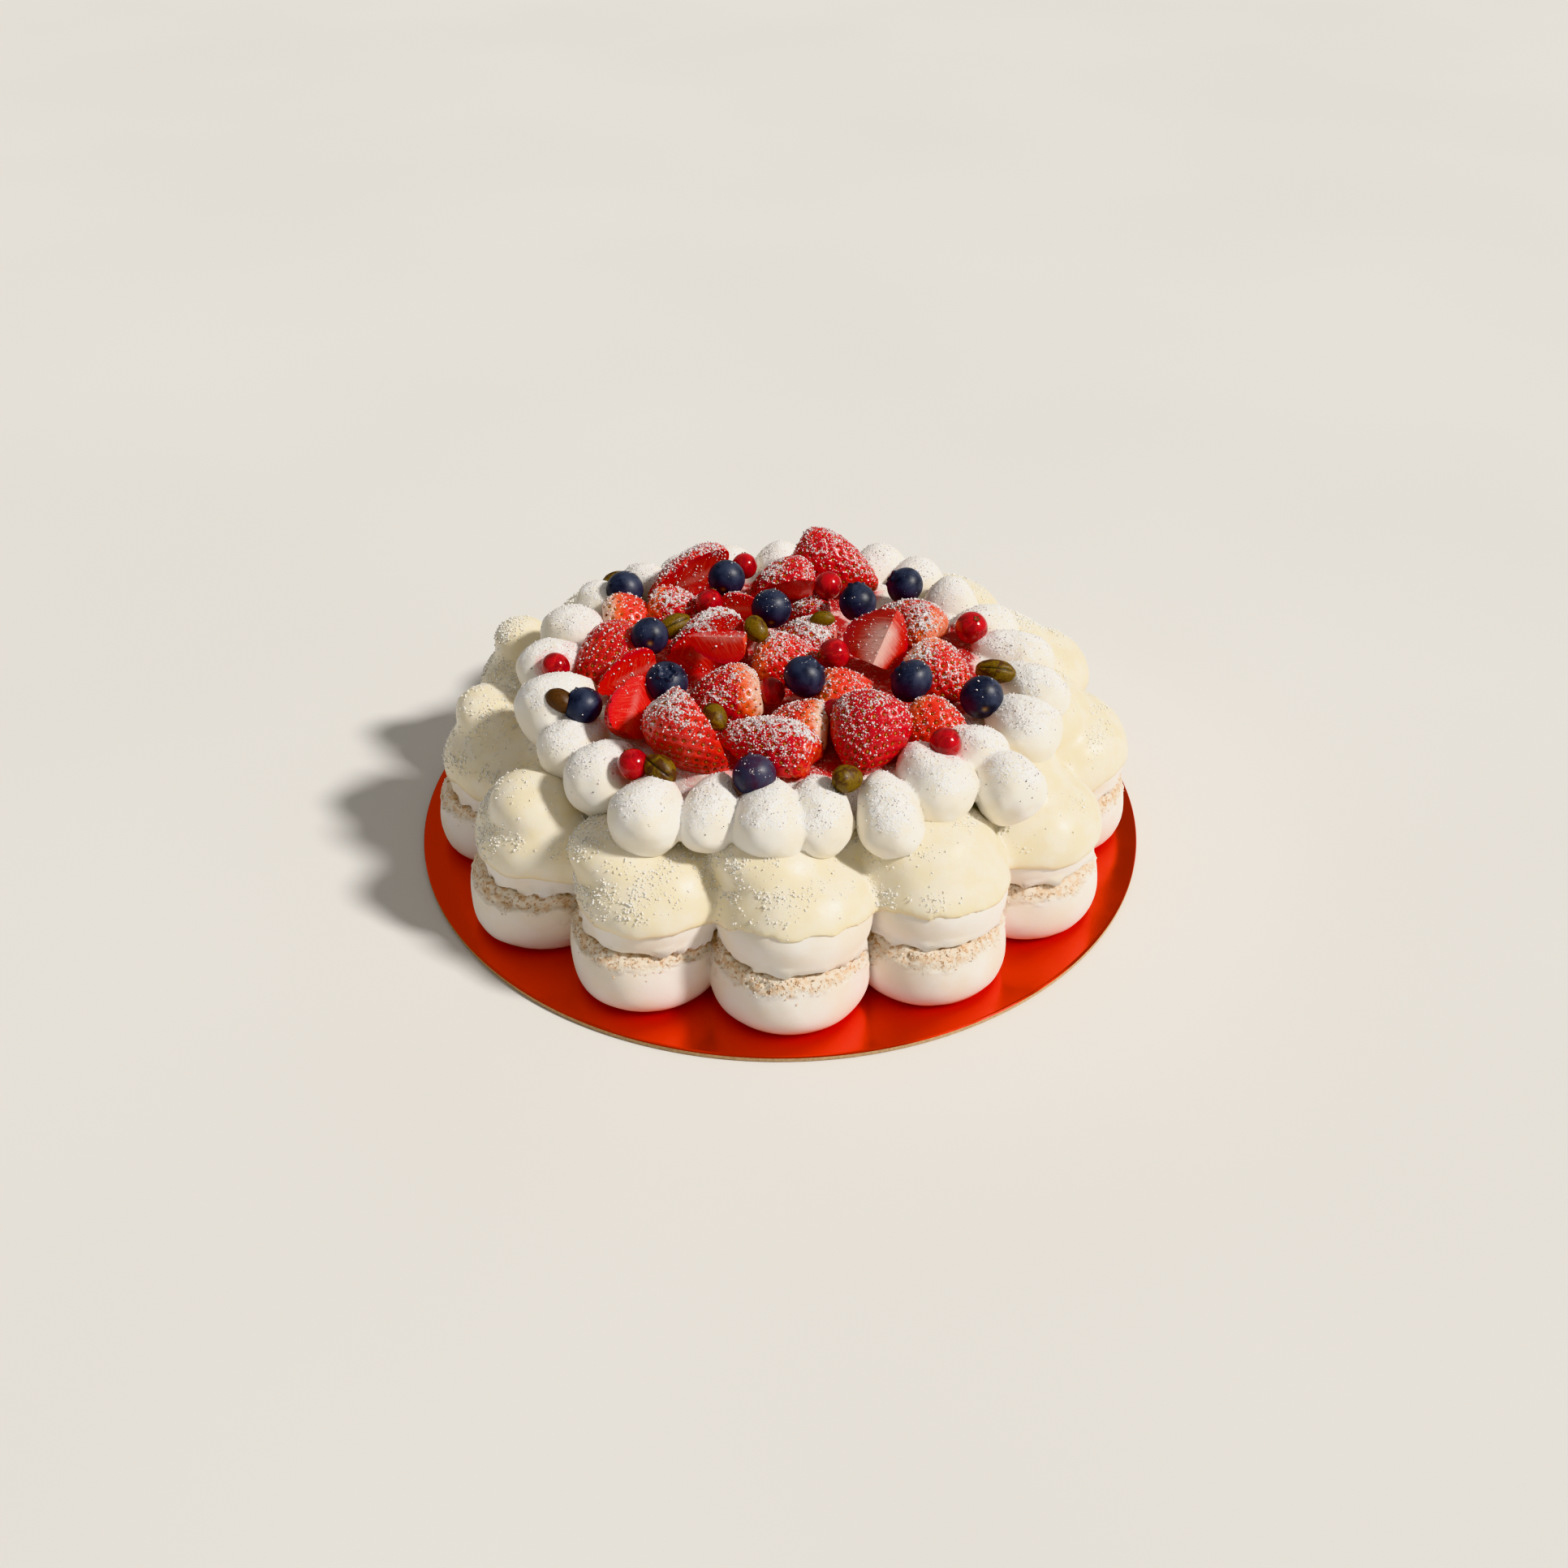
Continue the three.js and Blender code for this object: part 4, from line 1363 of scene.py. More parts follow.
def build_blueberry(number, row):
    """A blueberry with its five-pointed crown and the scar of its stem."""
    purple, sugar = row[7:]

    def shape(points, angle, spin):
        star = np.cos(5 * spin + number)
        rim = 0.36 * (1 + 0.16 * star)
        ridge = 0.075 * np.exp(-(((angle - rim) / 0.085) ** 2)) * (1 + 0.6 * star)
        hollow = -0.11 * ease(rim + 0.02, rim - 0.14, angle)
        dent = -0.07 * np.exp(-(((math.pi - angle) / 0.17) ** 2))
        wobble = 0.012 * noise(points, 5, 80 + number)
        points = points * (1 + ridge + hollow + dent + wobble)[..., None]
        scar = np.exp(-(((math.pi - angle) / 0.13) ** 4))
        return points, {"scar": scar, "purple": np.full(angle.shape, purple)}

    angles = np.concatenate([np.linspace(0.04, 0.68, 17), np.linspace(0.78, 3.1, 24)])
    piece = round_body(f"blueberry_skin_{number:02d}", row, angles, 50, shape)
    dust_piece(piece, sugar)
    return piece


def build_redcurrant(number, row):
    """A redcurrant and the dried flower at its end."""

    def shape(points, angle, spin):
        wobble = 0.012 * noise(points, 4, 90 + number)
        dent = -0.05 * np.exp(-(((math.pi - angle) / 0.2) ** 2))
        return points * (1 + wobble + dent)[..., None], {}

    def tuft_shape(points, angle, spin):
        star = np.abs(np.sin(2.5 * spin))
        reach = ease(0, 1.2, angle) * (0.5 + 0.7 * star)
        rise = 1.3 * np.sin(angle) * (0.6 + 0.5 * star)
        place = [row[3] / 2 - 0.3 + 0.5 * rise, reach * np.cos(spin), reach * np.sin(spin)]
        return np.stack(place, axis=-1), {}

    angles, tuft_angles = np.linspace(0.06, 3.08, 26), np.linspace(0.1, 3.0, 9)
    piece = round_body(f"redcurrant_skin_{number:02d}", row, angles, 36, shape)
    tuft_name = f"redcurrant_flower_{number:02d}"
    return piece, round_body(tuft_name, row, tuft_angles, 20, tuft_shape)


def build_pistachio(number, row):
    """A shelled pistachio with the crease along its side."""
    width, roll, husk = row[4], row[7], row[8]

    def shape(points, angle, spin):
        blunt = 1 - 0.12 * np.cos(angle)
        split = np.exp(-(((spin - math.pi / 2) / 0.1) ** 2)) * ease(0.25, 0.9, np.sin(angle))
        folds = 0.05 * noise(points * np.array([0.25, 1, 1]), 1.4, 110 + number)
        bend = 0.06 * width * np.cos(angle) ** 2
        grid = points * (blunt * (1 + folds - 0.16 * split))[..., None]
        grid = grid - np.stack([0 * bend, 0 * bend, bend], axis=-1)
        return grid, {"crease": ease(0.35, 0.8, split), "husk": np.full(angle.shape, husk)}

    name, angles = f"pistachio_nut_{number:02d}", np.linspace(0.07, 3.07, 34)
    return round_body(name, row, angles, 48, shape, roll)


# ------------------------------------------------------------------ strawberries

SEED_SPACING = 3.2
# A seed's length, width and thickness, and how deep its middle lies under the skin.
SEED_SIZE = (1.15, 0.8, 0.6)
SEED_DEPTH = 0.42
# No seed lies nearer to a cut than this, or past this share of the half length.
SEED_TO_CUT = 0.6
LAST_SEED = -0.85
GOLDEN_TURN = math.pi * (3 - math.sqrt(5))
# How deep the pit of a seed is, and the rings of points round the seed: radius, how many,
# and height as a share of that depth.
PIT_DEPTH = 0.5
PIT_RINGS = ((0.42, 6, -0.9), (0.85, 8, -0.35), (1.25, 8, 0.12))
# Between what a berry's own two waves round its axis are drawn: height and turn of each.
BERRY_WAVES = ((0.01, 0.035), (0, 6), (0.01, 0.025), (0, 6))


def seed_ways(length, width):
    """Directions of a strawberry's seeds, in a spiral from its tip to its shoulder."""
    area = math.pi * width * (0.25 * width + 0.62 * length)
    count = int(area / (0.87 * SEED_SPACING**2))
    number = np.arange(count) + 0.5
    along = 1 - 2 * number / count
    out = np.sqrt(1 - along * along)
    turn = number * GOLDEN_TURN
    return np.stack([along, out * np.cos(turn), out * np.sin(turn)], axis=-1)


def berry_points(ways, length, width, waves):
    """Points on a strawberry's body for directions from its middle."""
    along = ways[:, 0]
    spin = np.arctan2(ways[:, 2], ways[:, 1])
    oval, oval_turn, corner, corner_turn = waves
    uneven = 1 + oval * np.cos(2 * spin + oval_turn) + corner * np.cos(3 * spin + corner_turn)
    across = (1 - SHOULDER * along) * width / 2 * uneven
    points = np.stack([along * length / 2, ways[:, 1] * across, ways[:, 2] * across], axis=-1)
    out = np.hypot(ways[:, 1], ways[:, 2])
    points[:, 0] += np.where(along < 0, 0.1 * length * np.exp(-((out / 0.4) ** 2)), 0)
    return points


def seed_downs(seeds):
    """At each seed, the direction along the body away from the tip, and how far out the
    seed lies from the long axis on a body 1 in radius."""
    along = seeds[:, 0:1]
    out = np.sqrt(1 - along * along) + 1e-6
    return np.concatenate([-out, seeds[:, 1:] * along / out], axis=1), out


def ring_ways(seeds, length, width):
    """Directions of the seeds and of the rings of points round them, with the height of
    each as a share of the pit."""
    along = seeds[:, 0:1]
    down, out = seed_downs(seeds)
    side = np.cross(seeds, down)
    across = (1 - SHOULDER * along) * width / 2
    down_scale = np.hypot(out * length / 2, along * across)
    ways, heights = [seeds], [-1.0]
    for radius, count, height in PIT_RINGS:
        for turn in 2 * math.pi * np.arange(count) / count + radius:
            step = math.cos(turn) * radius / down_scale * down
            step = step + math.sin(turn) * radius / across * side
            ways.append(unit(seeds + step))
            heights.append(height)
    owner = np.tile(np.arange(len(seeds)), len(ways))
    ways, heights = np.concatenate(ways), np.repeat(heights, len(seeds))
    mine = np.argmax(ways @ seeds.T, axis=1) == owner
    return ways[mine], heights[mine]


def cut_berry(shell, planes):
    """Cuts a strawberry through its long axis and closes the cut faces."""
    for degrees in planes:
        turn = math.radians(degrees)
        plane = {"plane_co": (0, 0, 0), "plane_no": (0, -math.sin(turn), math.cos(turn))}
        geometry = shell.verts[:] + shell.edges[:] + shell.faces[:]
        bmesh.ops.bisect_plane(shell, geom=geometry, clear_inner=True, **plane)
        rim = [e for e in shell.edges if e.is_boundary]
        for face in bmesh.ops.edgeloop_fill(shell, edges=rim)["faces"]:
            face.material_index = 1
    bmesh.ops.recalc_face_normals(shell, faces=shell.faces)
    for face in shell.faces:
        face.smooth = face.material_index == 0


def berry_shell(number, length, width, waves):
    """A whole strawberry with a pit round each seed, as a bmesh that is ready to cut."""
    ways, heights = ring_ways(seed_ways(length, width), length, width)
    ways, triangles, kept = hull(ways)
    points = berry_points(ways, length, width, waves)
    a, b, c = (points[triangles[:, i]] for i in range(3))
    normals = np.zeros(points.shape)
    for i in range(3):
        np.add.at(normals, triangles[:, i], np.cross(b - a, c - a))
    pitted = 1 - ease(-0.75, -0.95, ways[:, 0])
    relief = heights[kept] * (PIT_DEPTH * pitted) + 0.35 * noise(points, 7, number)
    points = points + unit(normals) * relief[:, None]

    shell = bmesh.new()
    for point in points:
        shell.verts.new(point * MM)
    pit = shell.verts.layers.float.new("pit")
    shell.verts.ensure_lookup_table()
    for vert, value in zip(shell.verts, np.clip(-heights[kept], 0, 1) * pitted):
        vert[pit] = value
    for triangle in triangles:
        shell.faces.new([shell.verts[i] for i in triangle])
    return shell


def lay_seeds(row, waves, place):
    """Where the seeds of a strawberry lie in the part's frame, and how each is turned."""
    length, width = row[3:5]
    seeds = seed_ways(length, width)
    lie = berry_points(seeds, length, width, waves)
    inside = seeds[:, 0] > LAST_SEED
    for degrees in CUTS[row[8]][0]:
        turn = math.radians(degrees)
        inside &= lie[:, 2] * math.cos(turn) - lie[:, 1] * math.sin(turn) > SEED_TO_CUT
    up = unit(seeds[inside] * np.array([width / length, 1, 1]))
    side = unit(np.cross(up, seed_downs(seeds)[0][inside]))
    turns = np.stack([np.cross(side, up), side, up], axis=-1)
    place = np.array(place)
    lie = (lie[inside] - up * SEED_DEPTH) @ place[:3, :3].T + place[:3, 3] / MM
    return lie, place[:3, :3] @ turns


def build_strawberry(number, row):
    """One strawberry, whole or cut, and where and how its seeds lie."""
    length, width = row[3:5]
    roll, cut, pale, ripe, sugar = row[7:]
    random = np.random.default_rng(300 + number)
    waves = [random.uniform(*between) for between in BERRY_WAVES]
    shell = berry_shell(number, length, width, waves)
    planes, sunk = CUTS[cut]
    cut_berry(shell, planes)
    mesh = bpy.data.meshes.new(f"strawberry_piece_{number:02d}")
    shell.to_mesh(mesh)
    shell.free()

    piece = add_object(mesh.name, mesh)
    points = read_points(mesh, "co") / MM
    share = points / np.array([length, width, width]) * 2
    fade = ease(0.5 * pale - 0.35, -0.9, share[:, 0] + 0.12 * noise(points, 4, number))
    write_mask(piece, "flesh", share)
    write_mask(piece, "pale", pale * fade)
    write_mask(piece, "ripe", np.full(len(points), ripe))
    write_mask(piece, "core", np.full(len(points), pale))
    place = laid_place(row, roll, sunk)
    mesh.transform(place)
    dust_piece(piece, sugar, 1 - 0.5 * read_mask(piece, "pit"))
    return piece, *lay_seeds(row, waves, place)


# ------------------------------------------------------------------ grains


def seed_grains(places, turns):
    """The strawberries' seeds, each a small lens that lies along its berry."""
    ring = 2 * math.pi * np.arange(6) / 6
    flat = np.stack([np.cos(ring), np.sin(ring), 0 * ring], axis=-1)
    ring = ring[:4] * 1.5
    dome = np.stack([0.6 * np.cos(ring), 0.6 * np.sin(ring), 0 * ring + 0.8], axis=-1)
    shape = hull(np.concatenate([flat, dome, dome * [1, 1, -1]]) / 2)[:2]
    random = np.random.default_rng(7)
    sizes = np.array(SEED_SIZE) * random.uniform(0.85, 1.15, (len(places), 1))
    return copy_grains("strawberry_seeds", [shape], places, turns, sizes)


def scattered(name, bases, mask, count, sizes, corners, seed, sunk=0.15):
    """Grains between two sizes on some pieces, thicker where their mask is higher. Each
    base is a piece and how much its mask counts."""
    random = np.random.default_rng(seed)
    parts, start = [], 0
    for base, keep in bases:
        points, normals, triangles = mesh_triangles(base)
        parts.append((points, normals, triangles + start, read_mask(base, mask) * keep))
        start += len(points)
    count = count
    surface = [np.concatenate(part) for part in zip(*parts)]
    places, ways = spread(*surface, count, random)
    low, high = sizes
    size = low + (high - low) * random.random((count, 1)) ** 1.6
    sizes = size * random.uniform(0.75, 1.2, (count, 3))
    places = places + ways * size * (0.5 - sunk - random.random((count, 1)) * 0.3)
    shapes = grain_shapes(corners, random)
    return copy_grains(name, shapes, places, random_turns(count, random), sizes)


# ------------------------------------------------------------------ what a user can change


def colour_property(name, description, default):
    """A colour in the sidebar."""
    return FloatVectorProperty(
        name=name, description=description, default=default, subtype="COLOR", size=3, min=0, max=1
    )


def length_property(name, description, millimetres):
    """A length in the sidebar, given in millimetres."""
    return FloatProperty(
        name=name, description=description, default=millimetres * MM, min=0, unit="LENGTH"
    )


def count_property(name, description, default):
    """A number of grains in the sidebar."""
    return IntProperty(name=name, description=description, default=default, min=0, max=20000)


class CardSettings(bpy.types.PropertyGroup):
    """The foil card."""

    foil_colour: colour_property("Foil", "Colour of the metallic foil", (0.8, 0.045, 0.01))
    edge_colour: colour_property("Edge", "Colour of the bare card", (0.62, 0.42, 0.24))


class MeringueSettings(bpy.types.PropertyGroup):
    """The meringue tiers and their coat."""

    colour: colour_property("Meringue", "Smooth baked meringue", (0.9, 0.855, 0.8))
    warm_colour: colour_property("Warm patches", "Slightly browned meringue", (0.88, 0.8, 0.68))
    crumb_colour: colour_property("Open crumb", "Crumb of a broken base", (0.88, 0.78, 0.65))
    toast_colour: colour_property("Toast", "Browned crumb", (0.8, 0.59, 0.4))
    # Pits of the crumb: partly browned, partly painted shade.
    pit_toast_and_shade_colour: colour_property("Pits", "Deepest parts of the crumb", (0.64, 0.41, 0.25))
    coat_colour: colour_property("Coat", "White chocolate", (0.88, 0.79, 0.58))
    coat_pale_colour: colour_property("Pale coat", "Thin white chocolate", (0.9, 0.835, 0.69))
    # Pooled coat in the creases: partly thick coat, partly painted warm shade.
    pool_and_shade_colour: colour_property("Pooled coat", "Thick white chocolate", (0.89, 0.74, 0.4))


class CreamSettings(bpy.types.PropertyGroup):
    """The piped cream."""

    colour: colour_property("Cream", "Whipped cream", (0.89, 0.86, 0.8))
    shade_colour: colour_property("Warm cream", "Slightly yellow patches", (0.88, 0.82, 0.7))
    stain_colour: colour_property("Stain", "Cream beside red fruit", (0.86, 0.5, 0.48))
    # Deep red on the bed between the fruit: partly juice, partly painted shade.
    juice_and_shade_colour: colour_property("Juice", "Cream under red fruit", (0.5, 0.04, 0.04))
    specks: count_property("Specks", "Number of vanilla seeds", 420)
    dust_grains: count_property("Dust", "Number of sugar grains on the cream", 13000)


class FruitSettings(bpy.types.PropertyGroup):
    """The fruit and nuts."""

    strawberry_red: colour_property("Strawberry", "Ripe skin", (0.56, 0.007, 0.018))
    strawberry_light: colour_property("Light strawberry", "Less ripe skin", (0.82, 0.045, 0.018))
    # Painted shade in the seed pits.
    strawberry_pit_shade: colour_property("Seed pits", "Skin round a seed", (0.3, 0.004, 0.005))
    strawberry_orange: colour_property("Neck", "Skin near the shoulder", (0.88, 0.14, 0.04))
    strawberry_pale: colour_property("Shoulder", "Unripe skin", (0.9, 0.6, 0.45))
    flesh_colour: colour_property("Cut face", "Strawberry flesh", (0.64, 0.012, 0.011))
    flesh_pale: colour_property("Rays", "Pale rays in the flesh", (0.88, 0.2, 0.14))
    core_colour: colour_property("Core", "Middle of a strawberry", (0.94, 0.62, 0.55))
    blueberry_dark: colour_property("Blueberry", "Rubbed blueberry skin", (0.006, 0.0075, 0.017))
    blueberry_purple: colour_property("Purple blueberry", "Riper skin", (0.07, 0.025, 0.05))
    blueberry_bloom: colour_property("Bloom", "Blueberry bloom", (0.058, 0.07, 0.115))
    redcurrant_red: colour_property("Redcurrant", "Redcurrant skin", (0.28, 0.003, 0.008))
    redcurrant_light: colour_property("Light redcurrant", "Clearer skin", (0.58, 0.006, 0.015))
    pistachio_green: colour_property("Pistachio", "Green flesh", (0.11, 0.07, 0.004))
    pistachio_yellow: colour_property("Light pistachio", "Yellow flesh", (0.22, 0.12, 0.008))
    pistachio_brown: colour_property("Husk", "Brown skin of a nut", (0.07, 0.025, 0.008))


class SugarSettings(bpy.types.PropertyGroup):
    """Sugar and crumbs."""

    colour: colour_property("Icing sugar", "Icing sugar", (0.95, 0.9, 0.91))
    coarse_grains: count_property("Coarse grains", "Grains on the coat", 16000)
    coarse_size: length_property("Coarse size", "The largest grain on the coat", 1.15)
    icing_clumps: count_property("Icing clumps", "Clumps on the fruit", 11000)
    icing_size: length_property("Icing size", "The largest clump on the fruit", 1.0)
    crumbs: count_property("Crumbs", "Loose crumbs at the joint of the tiers", 3500)


class StageSettings(bpy.types.PropertyGroup):
    """The ground and the light."""

    floor_colour: colour_property("Floor", "The ground", (0.78, 0.77, 0.755))
    key_power: FloatProperty(
        name="Key light", description="Strength of the key light", default=3.4, min=0
    )
    key_size: FloatProperty(
        name="Key size",
        description="How wide the key light looks from the cake",
        default=math.radians(8),
        min=0,
        subtype="ANGLE",
    )
    fill_light: FloatProperty(
        name="Fill light", description="Strength of the light all round", default=0.34, min=0
    )


PARTS = {
    "card": CardSettings,
    "meringue": MeringueSettings,
    "cream": CreamSettings,
    "fruit": FruitSettings,
    "sugar": SugarSettings,
    "stage": StageSettings,
}


class PavlovaSettings(bpy.types.PropertyGroup):
    """Everything that the sidebar shows."""

    card: PointerProperty(type=CardSettings)
    meringue: PointerProperty(type=MeringueSettings)
    cream: PointerProperty(type=CreamSettings)
    fruit: PointerProperty(type=FruitSettings)
    sugar: PointerProperty(type=SugarSettings)
    stage: PointerProperty(type=StageSettings)


# ------------------------------------------------------------------ operators


def paint(piece, **finishes):
    """Gives a piece its finishes, in the order of its material slots."""
    for name, draw in finishes.items():
        piece.data.materials.append(finish_named(name, draw))
    return piece


def built(name):
    """A piece that an earlier operator built."""
    if name not in bpy.data.objects:
        raise RuntimeError(f"{name} isn't there: run the operator that builds it first")
    return bpy.data.objects[name]


def built_like(start):
    """All pieces whose names start alike."""
    return [o for o in bpy.data.objects if o.name.startswith(start)]


class FoilCard(bpy.types.Operator):
    """Builds the round foil card"""

    bl_idname = "pavlova.foil_card"
    bl_label = "Foil card"

    def execute(self, context):
        piece = paint(build_card(), foil=draw_foil, card_edge=draw_card_edge)
        dress(piece, "foil_card", "cake_board")
        return {"FINISHED"}


class LowerMeringue(bpy.types.Operator):
    """Builds the lower tier of meringue"""

    bl_idname = "pavlova.lower_meringue"
    bl_label = "Lower meringue"

    def execute(self, context):
        piece = paint(build_lower_meringue(), meringue=draw_meringue)
        dress(piece, "meringue", "lower_meringue")
        return {"FINISHED"}


class UpperMeringue(bpy.types.Operator):
    """Builds the upper tier of meringue and its white chocolate coat"""

    bl_idname = "pavlova.upper_meringue"
    bl_label = "Upper meringue"

    def execute(self, context):
        piece = paint(build_upper_meringue(), meringue=draw_meringue)
        dress(piece, "meringue", "upper_meringue")
        coat = paint(build_coat(), white_chocolate=draw_white_chocolate)
        dress(coat, "white_chocolate", "upper_meringue")
        return {"FINISHED"}


class WhippedCream(bpy.types.Operator):
    """Builds the bed of cream and its piped blobs"""

    bl_idname = "pavlova.whipped_cream"
    bl_label = "Whipped cream"

    def execute(self, context):
        piece = paint(build_cream(), cream=draw_cream)
        dress(piece, "cream", "whipped_cream")
        return {"FINISHED"}


class Strawberries(bpy.types.Operator):
    """Builds the strawberries and their seeds"""

    bl_idname = "pavlova.strawberries"
    bl_label = "Strawberries"

    def execute(self, context):
        finishes = {
            "strawberry_skin": draw_strawberry_skin,
            "strawberry_flesh": draw_strawberry_flesh,
        }
        lies, turns = [], []
        for number, row in enumerate(STRAWBERRIES, 1):
            piece, lie, turn = build_strawberry(number, row)
            dress(paint(piece, **finishes), "strawberry", f"strawberry_{number:02d}")
            lies.append(lie)
            turns.append(turn)
        seeds = seed_grains(np.concatenate(lies), np.concatenate(turns))
        dress(paint(seeds, strawberry_seed=draw_seed), "strawberry")
        return {"FINISHED"}


class Blueberries(bpy.types.Operator):
    """Builds the blueberries"""

    bl_idname = "pavlova.blueberries"
    bl_label = "Blueberries"

    def execute(self, context):
        for number, row in enumerate(BLUEBERRIES, 1):
            piece = paint(build_blueberry(number, row), blueberry=draw_blueberry)
            dress(piece, "blueberry", f"blueberry_{number:02d}")
        return {"FINISHED"}


class Redcurrants(bpy.types.Operator):
    """Builds the redcurrants and their dried flowers"""

    bl_idname = "pavlova.redcurrants"
    bl_label = "Redcurrants"

    def execute(self, context):
        for number, row in enumerate(REDCURRANTS, 1):
            node = f"redcurrant_{number:02d}"
            piece, tuft = build_redcurrant(number, row)
            dress(paint(piece, redcurrant=draw_redcurrant), "redcurrant", node)
            dress(paint(tuft, dried_flower=draw_dried_flower), "redcurrant", node)
        return {"FINISHED"}


class Pistachios(bpy.types.Operator):
    """Builds the pistachios"""

    bl_idname = "pavlova.pistachios"
    bl_label = "Pistachios"

    def execute(self, context):
        for number, row in enumerate(PISTACHIOS, 1):
            piece = paint(build_pistachio(number, row), pistachio=draw_pistachio)
            dress(piece, "pistachio", f"pistachio_{number:02d}")
        return {"FINISHED"}


class CoarseSugar(bpy.types.Operator):
    """Scatters coarse sugar on the coat, mostly on one side of each lobe"""

    bl_idname = "pavlova.coarse_sugar"
    bl_label = "Coarse sugar"

    def execute(self, context):
        coat, look = built("white_chocolate_coat"), settings().sugar
        points, normals, _ = mesh_triangles(coat)
        side = 0.8 * normals[:, 2] - 0.4 * normals[:, 0] + 0.3 * noise(points, 6, 201)
        patches = 0.08 + 0.92 * ease(-0.2, 0.5, layered_noise(points, 10, 202))
        shown = ease(82, 90, np.hypot(points[:, 0], points[:, 1]))
        write_mask(coat, "grains", ease(0.3, 0.75, side) * patches * shown)
        grains = scattered(
            "coarse_sugar",
            [(coat, 1)],
            "grains",
            look.coarse_grains,
            sizes=(0.35, look.coarse_size / MM),
            corners=8,
            seed=21,
        )
        dress(paint(grains, coarse_sugar=draw_coarse_sugar), "white_chocolate")
        return {"FINISHED"}


class IcingSugar(bpy.types.Operator):
    """Scatters clumps of icing sugar on the fruit"""

    bl_idname = "pavlova.icing_sugar"
    bl_label = "Icing sugar"

    def execute(self, context):
        look = settings().sugar
        bases = [(piece, 1) for piece in built_like("strawberry_piece_")]
        bases += [(piece, 0.2) for piece in built_like("blueberry_skin_")]
        grains = scattered(
            "icing_sugar",
            bases,
            "sugar",
            look.icing_clumps,
            sizes=(0.3, look.icing_size / MM),
            corners=9,
            seed=22,
        )
        dress(paint(grains, icing_sugar=draw_icing_sugar), "strawberry")
        return {"FINISHED"}


class VanillaSpecks(bpy.types.Operator):
    """Scatters vanilla seeds on the cream"""

    bl_idname = "pavlova.vanilla_specks"
    bl_label = "Vanilla specks"

    def execute(self, context):
        cream, look = built("cream_blobs"), settings().cream
        points, normals, _ = mesh_triangles(cream)
        shown = ease(56, 62, points[:, 2])
        write_mask(cream, "specks", ease(-0.5, 0.3, normals[:, 2]) * shown)
        grains = scattered(
            "vanilla_specks",
            [(cream, 1)],
            "specks",
            look.specks,
            sizes=(0.32, 0.6),
            corners=12,
            seed=23,
            sunk=0.2,
        )
        dress(paint(grains, vanilla=draw_vanilla), "cream")
        return {"FINISHED"}


class CreamDust(bpy.types.Operator):
    """Scatters fine sugar on the tops of the cream blobs"""

    bl_idname = "pavlova.cream_dust"
    bl_label = "Cream dust"

    def execute(self, context):
        cream, look = built("cream_blobs"), settings().cream
        points, normals, _ = mesh_triangles(cream)
        patches = 0.25 + 0.75 * ease(-0.3, 0.5, noise(points, 6, 204))
        shown = ease(62, 65, points[:, 2])
        write_mask(cream, "grains", ease(0.3, 0.85, normals[:, 2]) * patches * shown)
        grains = scattered(
            "cream_dust",
            [(cream, 1)],
            "grains",
            look.dust_grains,
            sizes=(0.25, 0.8),
            corners=8,
            seed=25,
        )
        dress(paint(grains, icing_sugar=draw_icing_sugar), "cream")
        return {"FINISHED"}


class MeringueCrumbs(bpy.types.Operator):
    """Scatters loose crumbs along the joint of the tiers"""

    bl_idname = "pavlova.meringue_crumbs"
    bl_label = "Meringue crumbs"

    def execute(self, context):
        shell = built("lower_meringue_shell")
        points, _, _ = mesh_triangles(shell)
        out = np.hypot(points[:, 0], points[:, 1])
        height = points[:, 2] - LOWER["bottom"]
        patches = 0.3 + 0.7 * ease(-0.2, 0.6, noise(points, 8, 203))
        write_mask(shell, "crumbs", ease(15, 20, height) * ease(98, 103, out) * patches)
        grains = scattered(
            "meringue_crumbs",
            [(shell, 1)],
            "crumbs",
            settings().sugar.crumbs,
            sizes=(0.35, 1.1),
            corners=10,
            seed=24,
            sunk=0.3,
        )
        dress(paint(grains, crumb=draw_crumb), "meringue")
        return {"FINISHED"}


CAMERA_AT = Vector((0, -519.1, 393.3)) * MM
CAMERA_AIM = Vector((0, 0, 2)) * MM
# How far the camera looks past its aim, to the right and upwards.
CAMERA_YAW, CAMERA_PITCH = math.radians(0.12), math.radians(0.697)
LENS, SENSOR = 40.37, 36
NEAREST, FARTHEST = 0.01, 20

FLOOR_REACH, FLOOR_DROP = 3000, 0.05
KEY_FROM = Vector((0.72, -0.22, 0.72))
KEY_COLOUR = (1.0, 0.965, 0.91)
SURROUNDINGS = (1.0, 0.95, 0.88, 1)


def place_camera():
    """A camera in front of the cake, a good way above it."""
    data = bpy.data.cameras.new("camera")
    data.lens, data.sensor_width = LENS, SENSOR
    data.clip_start, data.clip_end = NEAREST, FARTHEST
    camera = add_object("camera", data)
    bpy.context.scene.camera = camera
    ahead = (CAMERA_AIM - CAMERA_AT).normalized()
    right = ahead.cross(Vector((0, 0, 1))).normalized()
    above = right.cross(ahead)
    level = ahead * math.cos(CAMERA_YAW) + right * math.sin(CAMERA_YAW)
    look = level * math.cos(CAMERA_PITCH) + above * math.sin(CAMERA_PITCH)
    camera.location = CAMERA_AT
    camera.rotation_euler = look.to_track_quat("-Z", "Y").to_euler()
    return camera


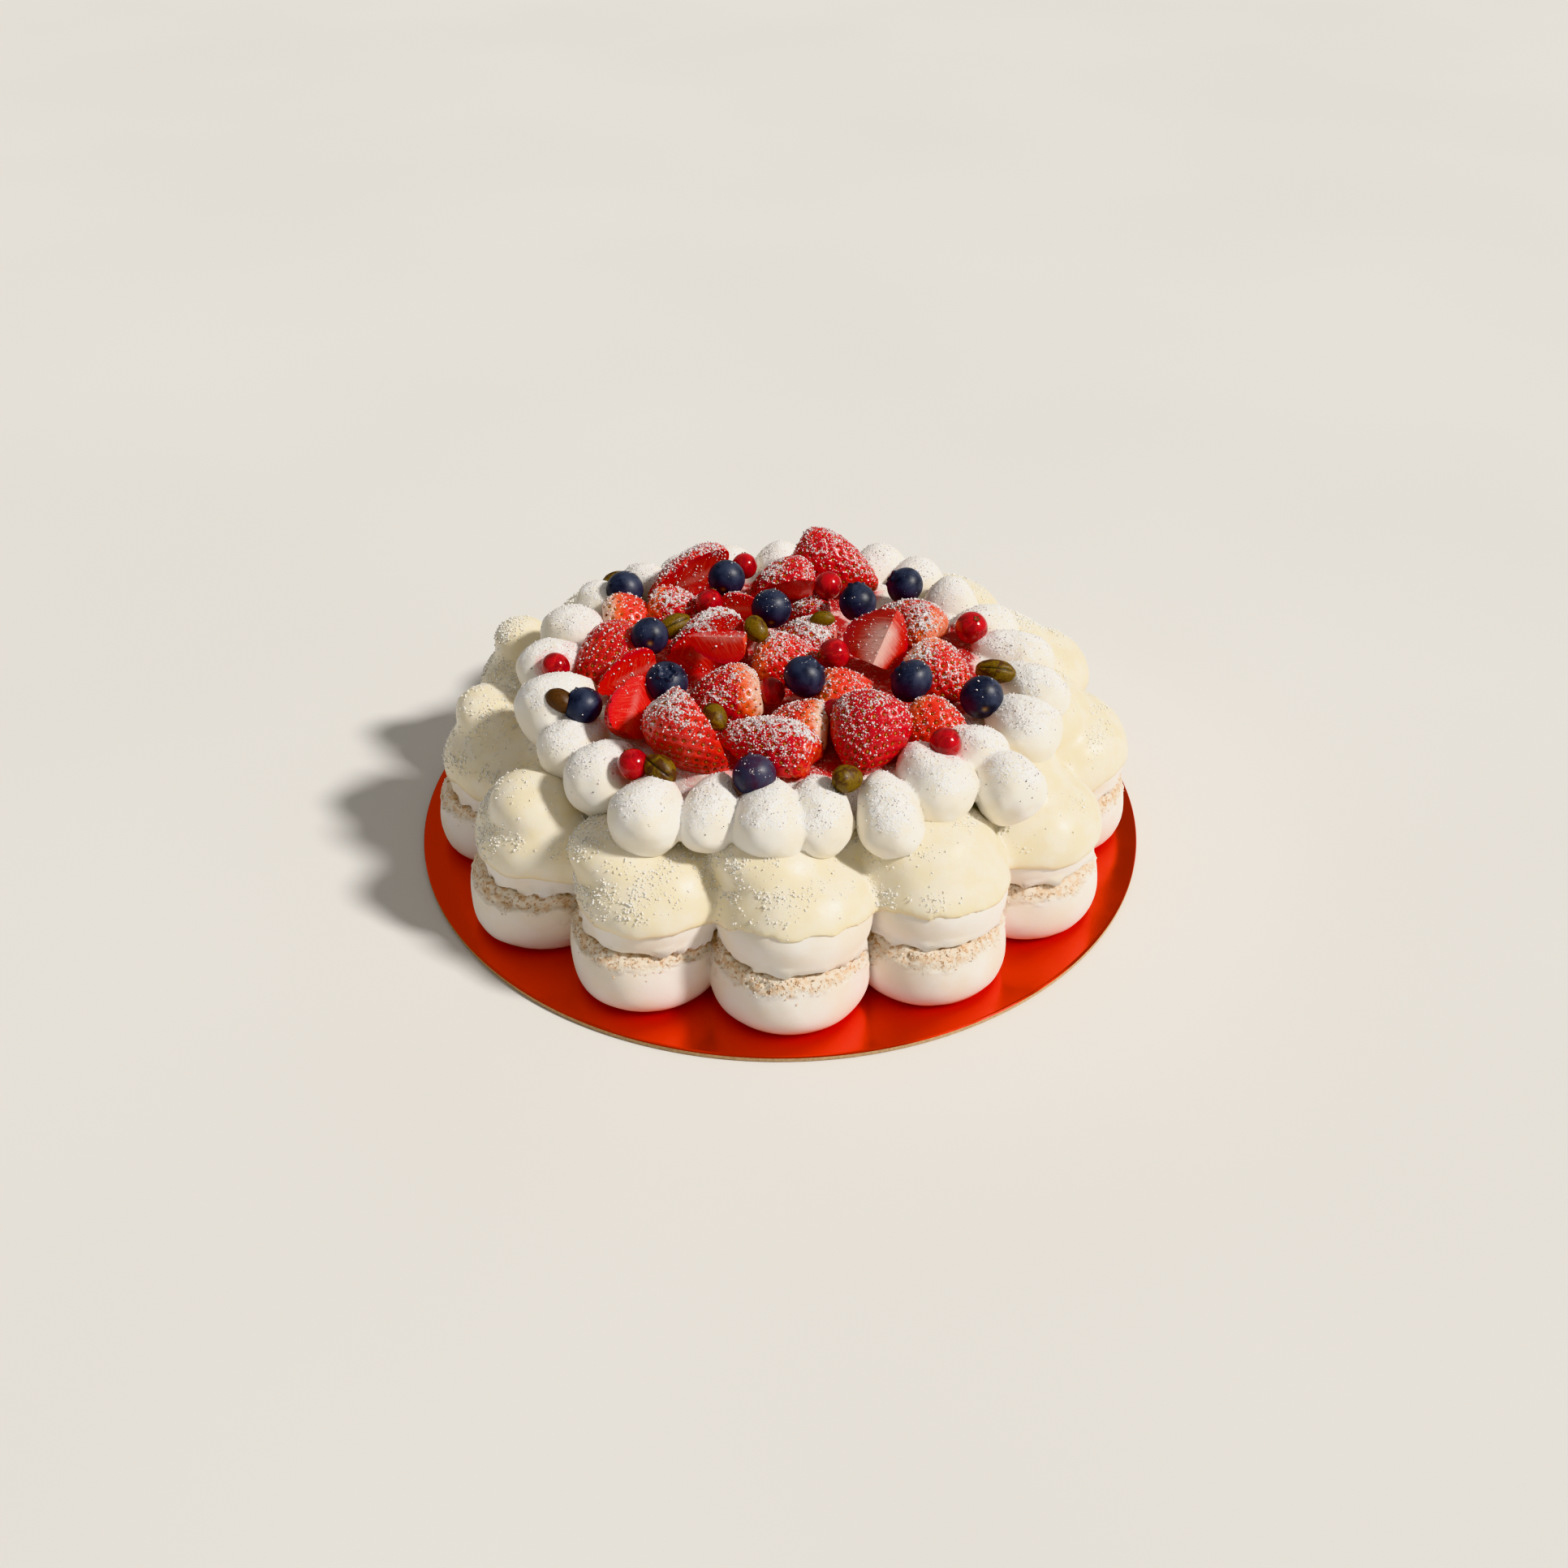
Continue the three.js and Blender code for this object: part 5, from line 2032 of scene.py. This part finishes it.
class Stage(bpy.types.Operator):
    """Lays the ground and sets up the light and the camera"""

    bl_idname = "pavlova.stage"
    bl_label = "Stage"

    def execute(self, context):
        look = settings().stage
        sides = [(-1, -1), (1, -1), (1, 1), (-1, 1)]
        corners = [(FLOOR_REACH * x, FLOOR_REACH * y, -FLOOR_DROP) for x, y in sides]
        floor = paint(build_mesh("floor", corners, [(0, 1, 2, 3)]), floor=draw_floor)
        data = bpy.data.lights.new("key", "SUN")
        data.energy, data.angle, data.color = look.key_power, look.key_size, KEY_COLOUR
        key = add_object("key", data)
        key.rotation_euler = KEY_FROM.to_track_quat("Z", "Y").to_euler()
        world = bpy.data.worlds.new("surroundings")
        world.use_nodes = True
        background = world.node_tree.nodes["Background"].inputs
        background[0].default_value = SURROUNDINGS
        background[1].default_value = look.fill_light
        context.scene.world = world
        context.scene.view_settings.view_transform = "Khronos PBR Neutral"
        place_camera()
        return {"FINISHED"}


OPERATORS = [
    FoilCard,
    LowerMeringue,
    UpperMeringue,
    WhippedCream,
    Strawberries,
    Blueberries,
    Redcurrants,
    Pistachios,
    CoarseSugar,
    IcingSugar,
    VanillaSpecks,
    CreamDust,
    MeringueCrumbs,
    Stage,
]


class PavlovaPanel(bpy.types.Panel):
    """The sidebar with all that can be set and built"""

    bl_idname = "VIEW3D_PT_pavlova"
    bl_label = "Pavlova"
    bl_space_type = "VIEW_3D"
    bl_region_type = "UI"
    bl_category = "Pavlova"

    def draw(self, context):
        for name, group in PARTS.items():
            box = self.layout.box()
            box.label(text=name.capitalize())
            for key in group.__annotations__:
                box.prop(getattr(context.scene.pavlova, name), key)
        for operator in OPERATORS:
            self.layout.operator(operator.bl_idname)


CLASSES = [*PARTS.values(), PavlovaSettings, *OPERATORS, PavlovaPanel]


def register():
    """Adds the panel, the operators and the settings."""
    for made in CLASSES:
        bpy.utils.register_class(made)
    bpy.types.Scene.pavlova = PointerProperty(type=PavlovaSettings)


def unregister():
    """Takes them out again."""
    del bpy.types.Scene.pavlova
    for made in reversed(CLASSES):
        bpy.utils.unregister_class(made)


def main():
    """Builds the whole pavlova."""
    register()
    make_groups()
    for operator in OPERATORS:
        getattr(bpy.ops.pavlova, operator.bl_idname.split(".")[1])()


if __name__ == "__main__":
    main()
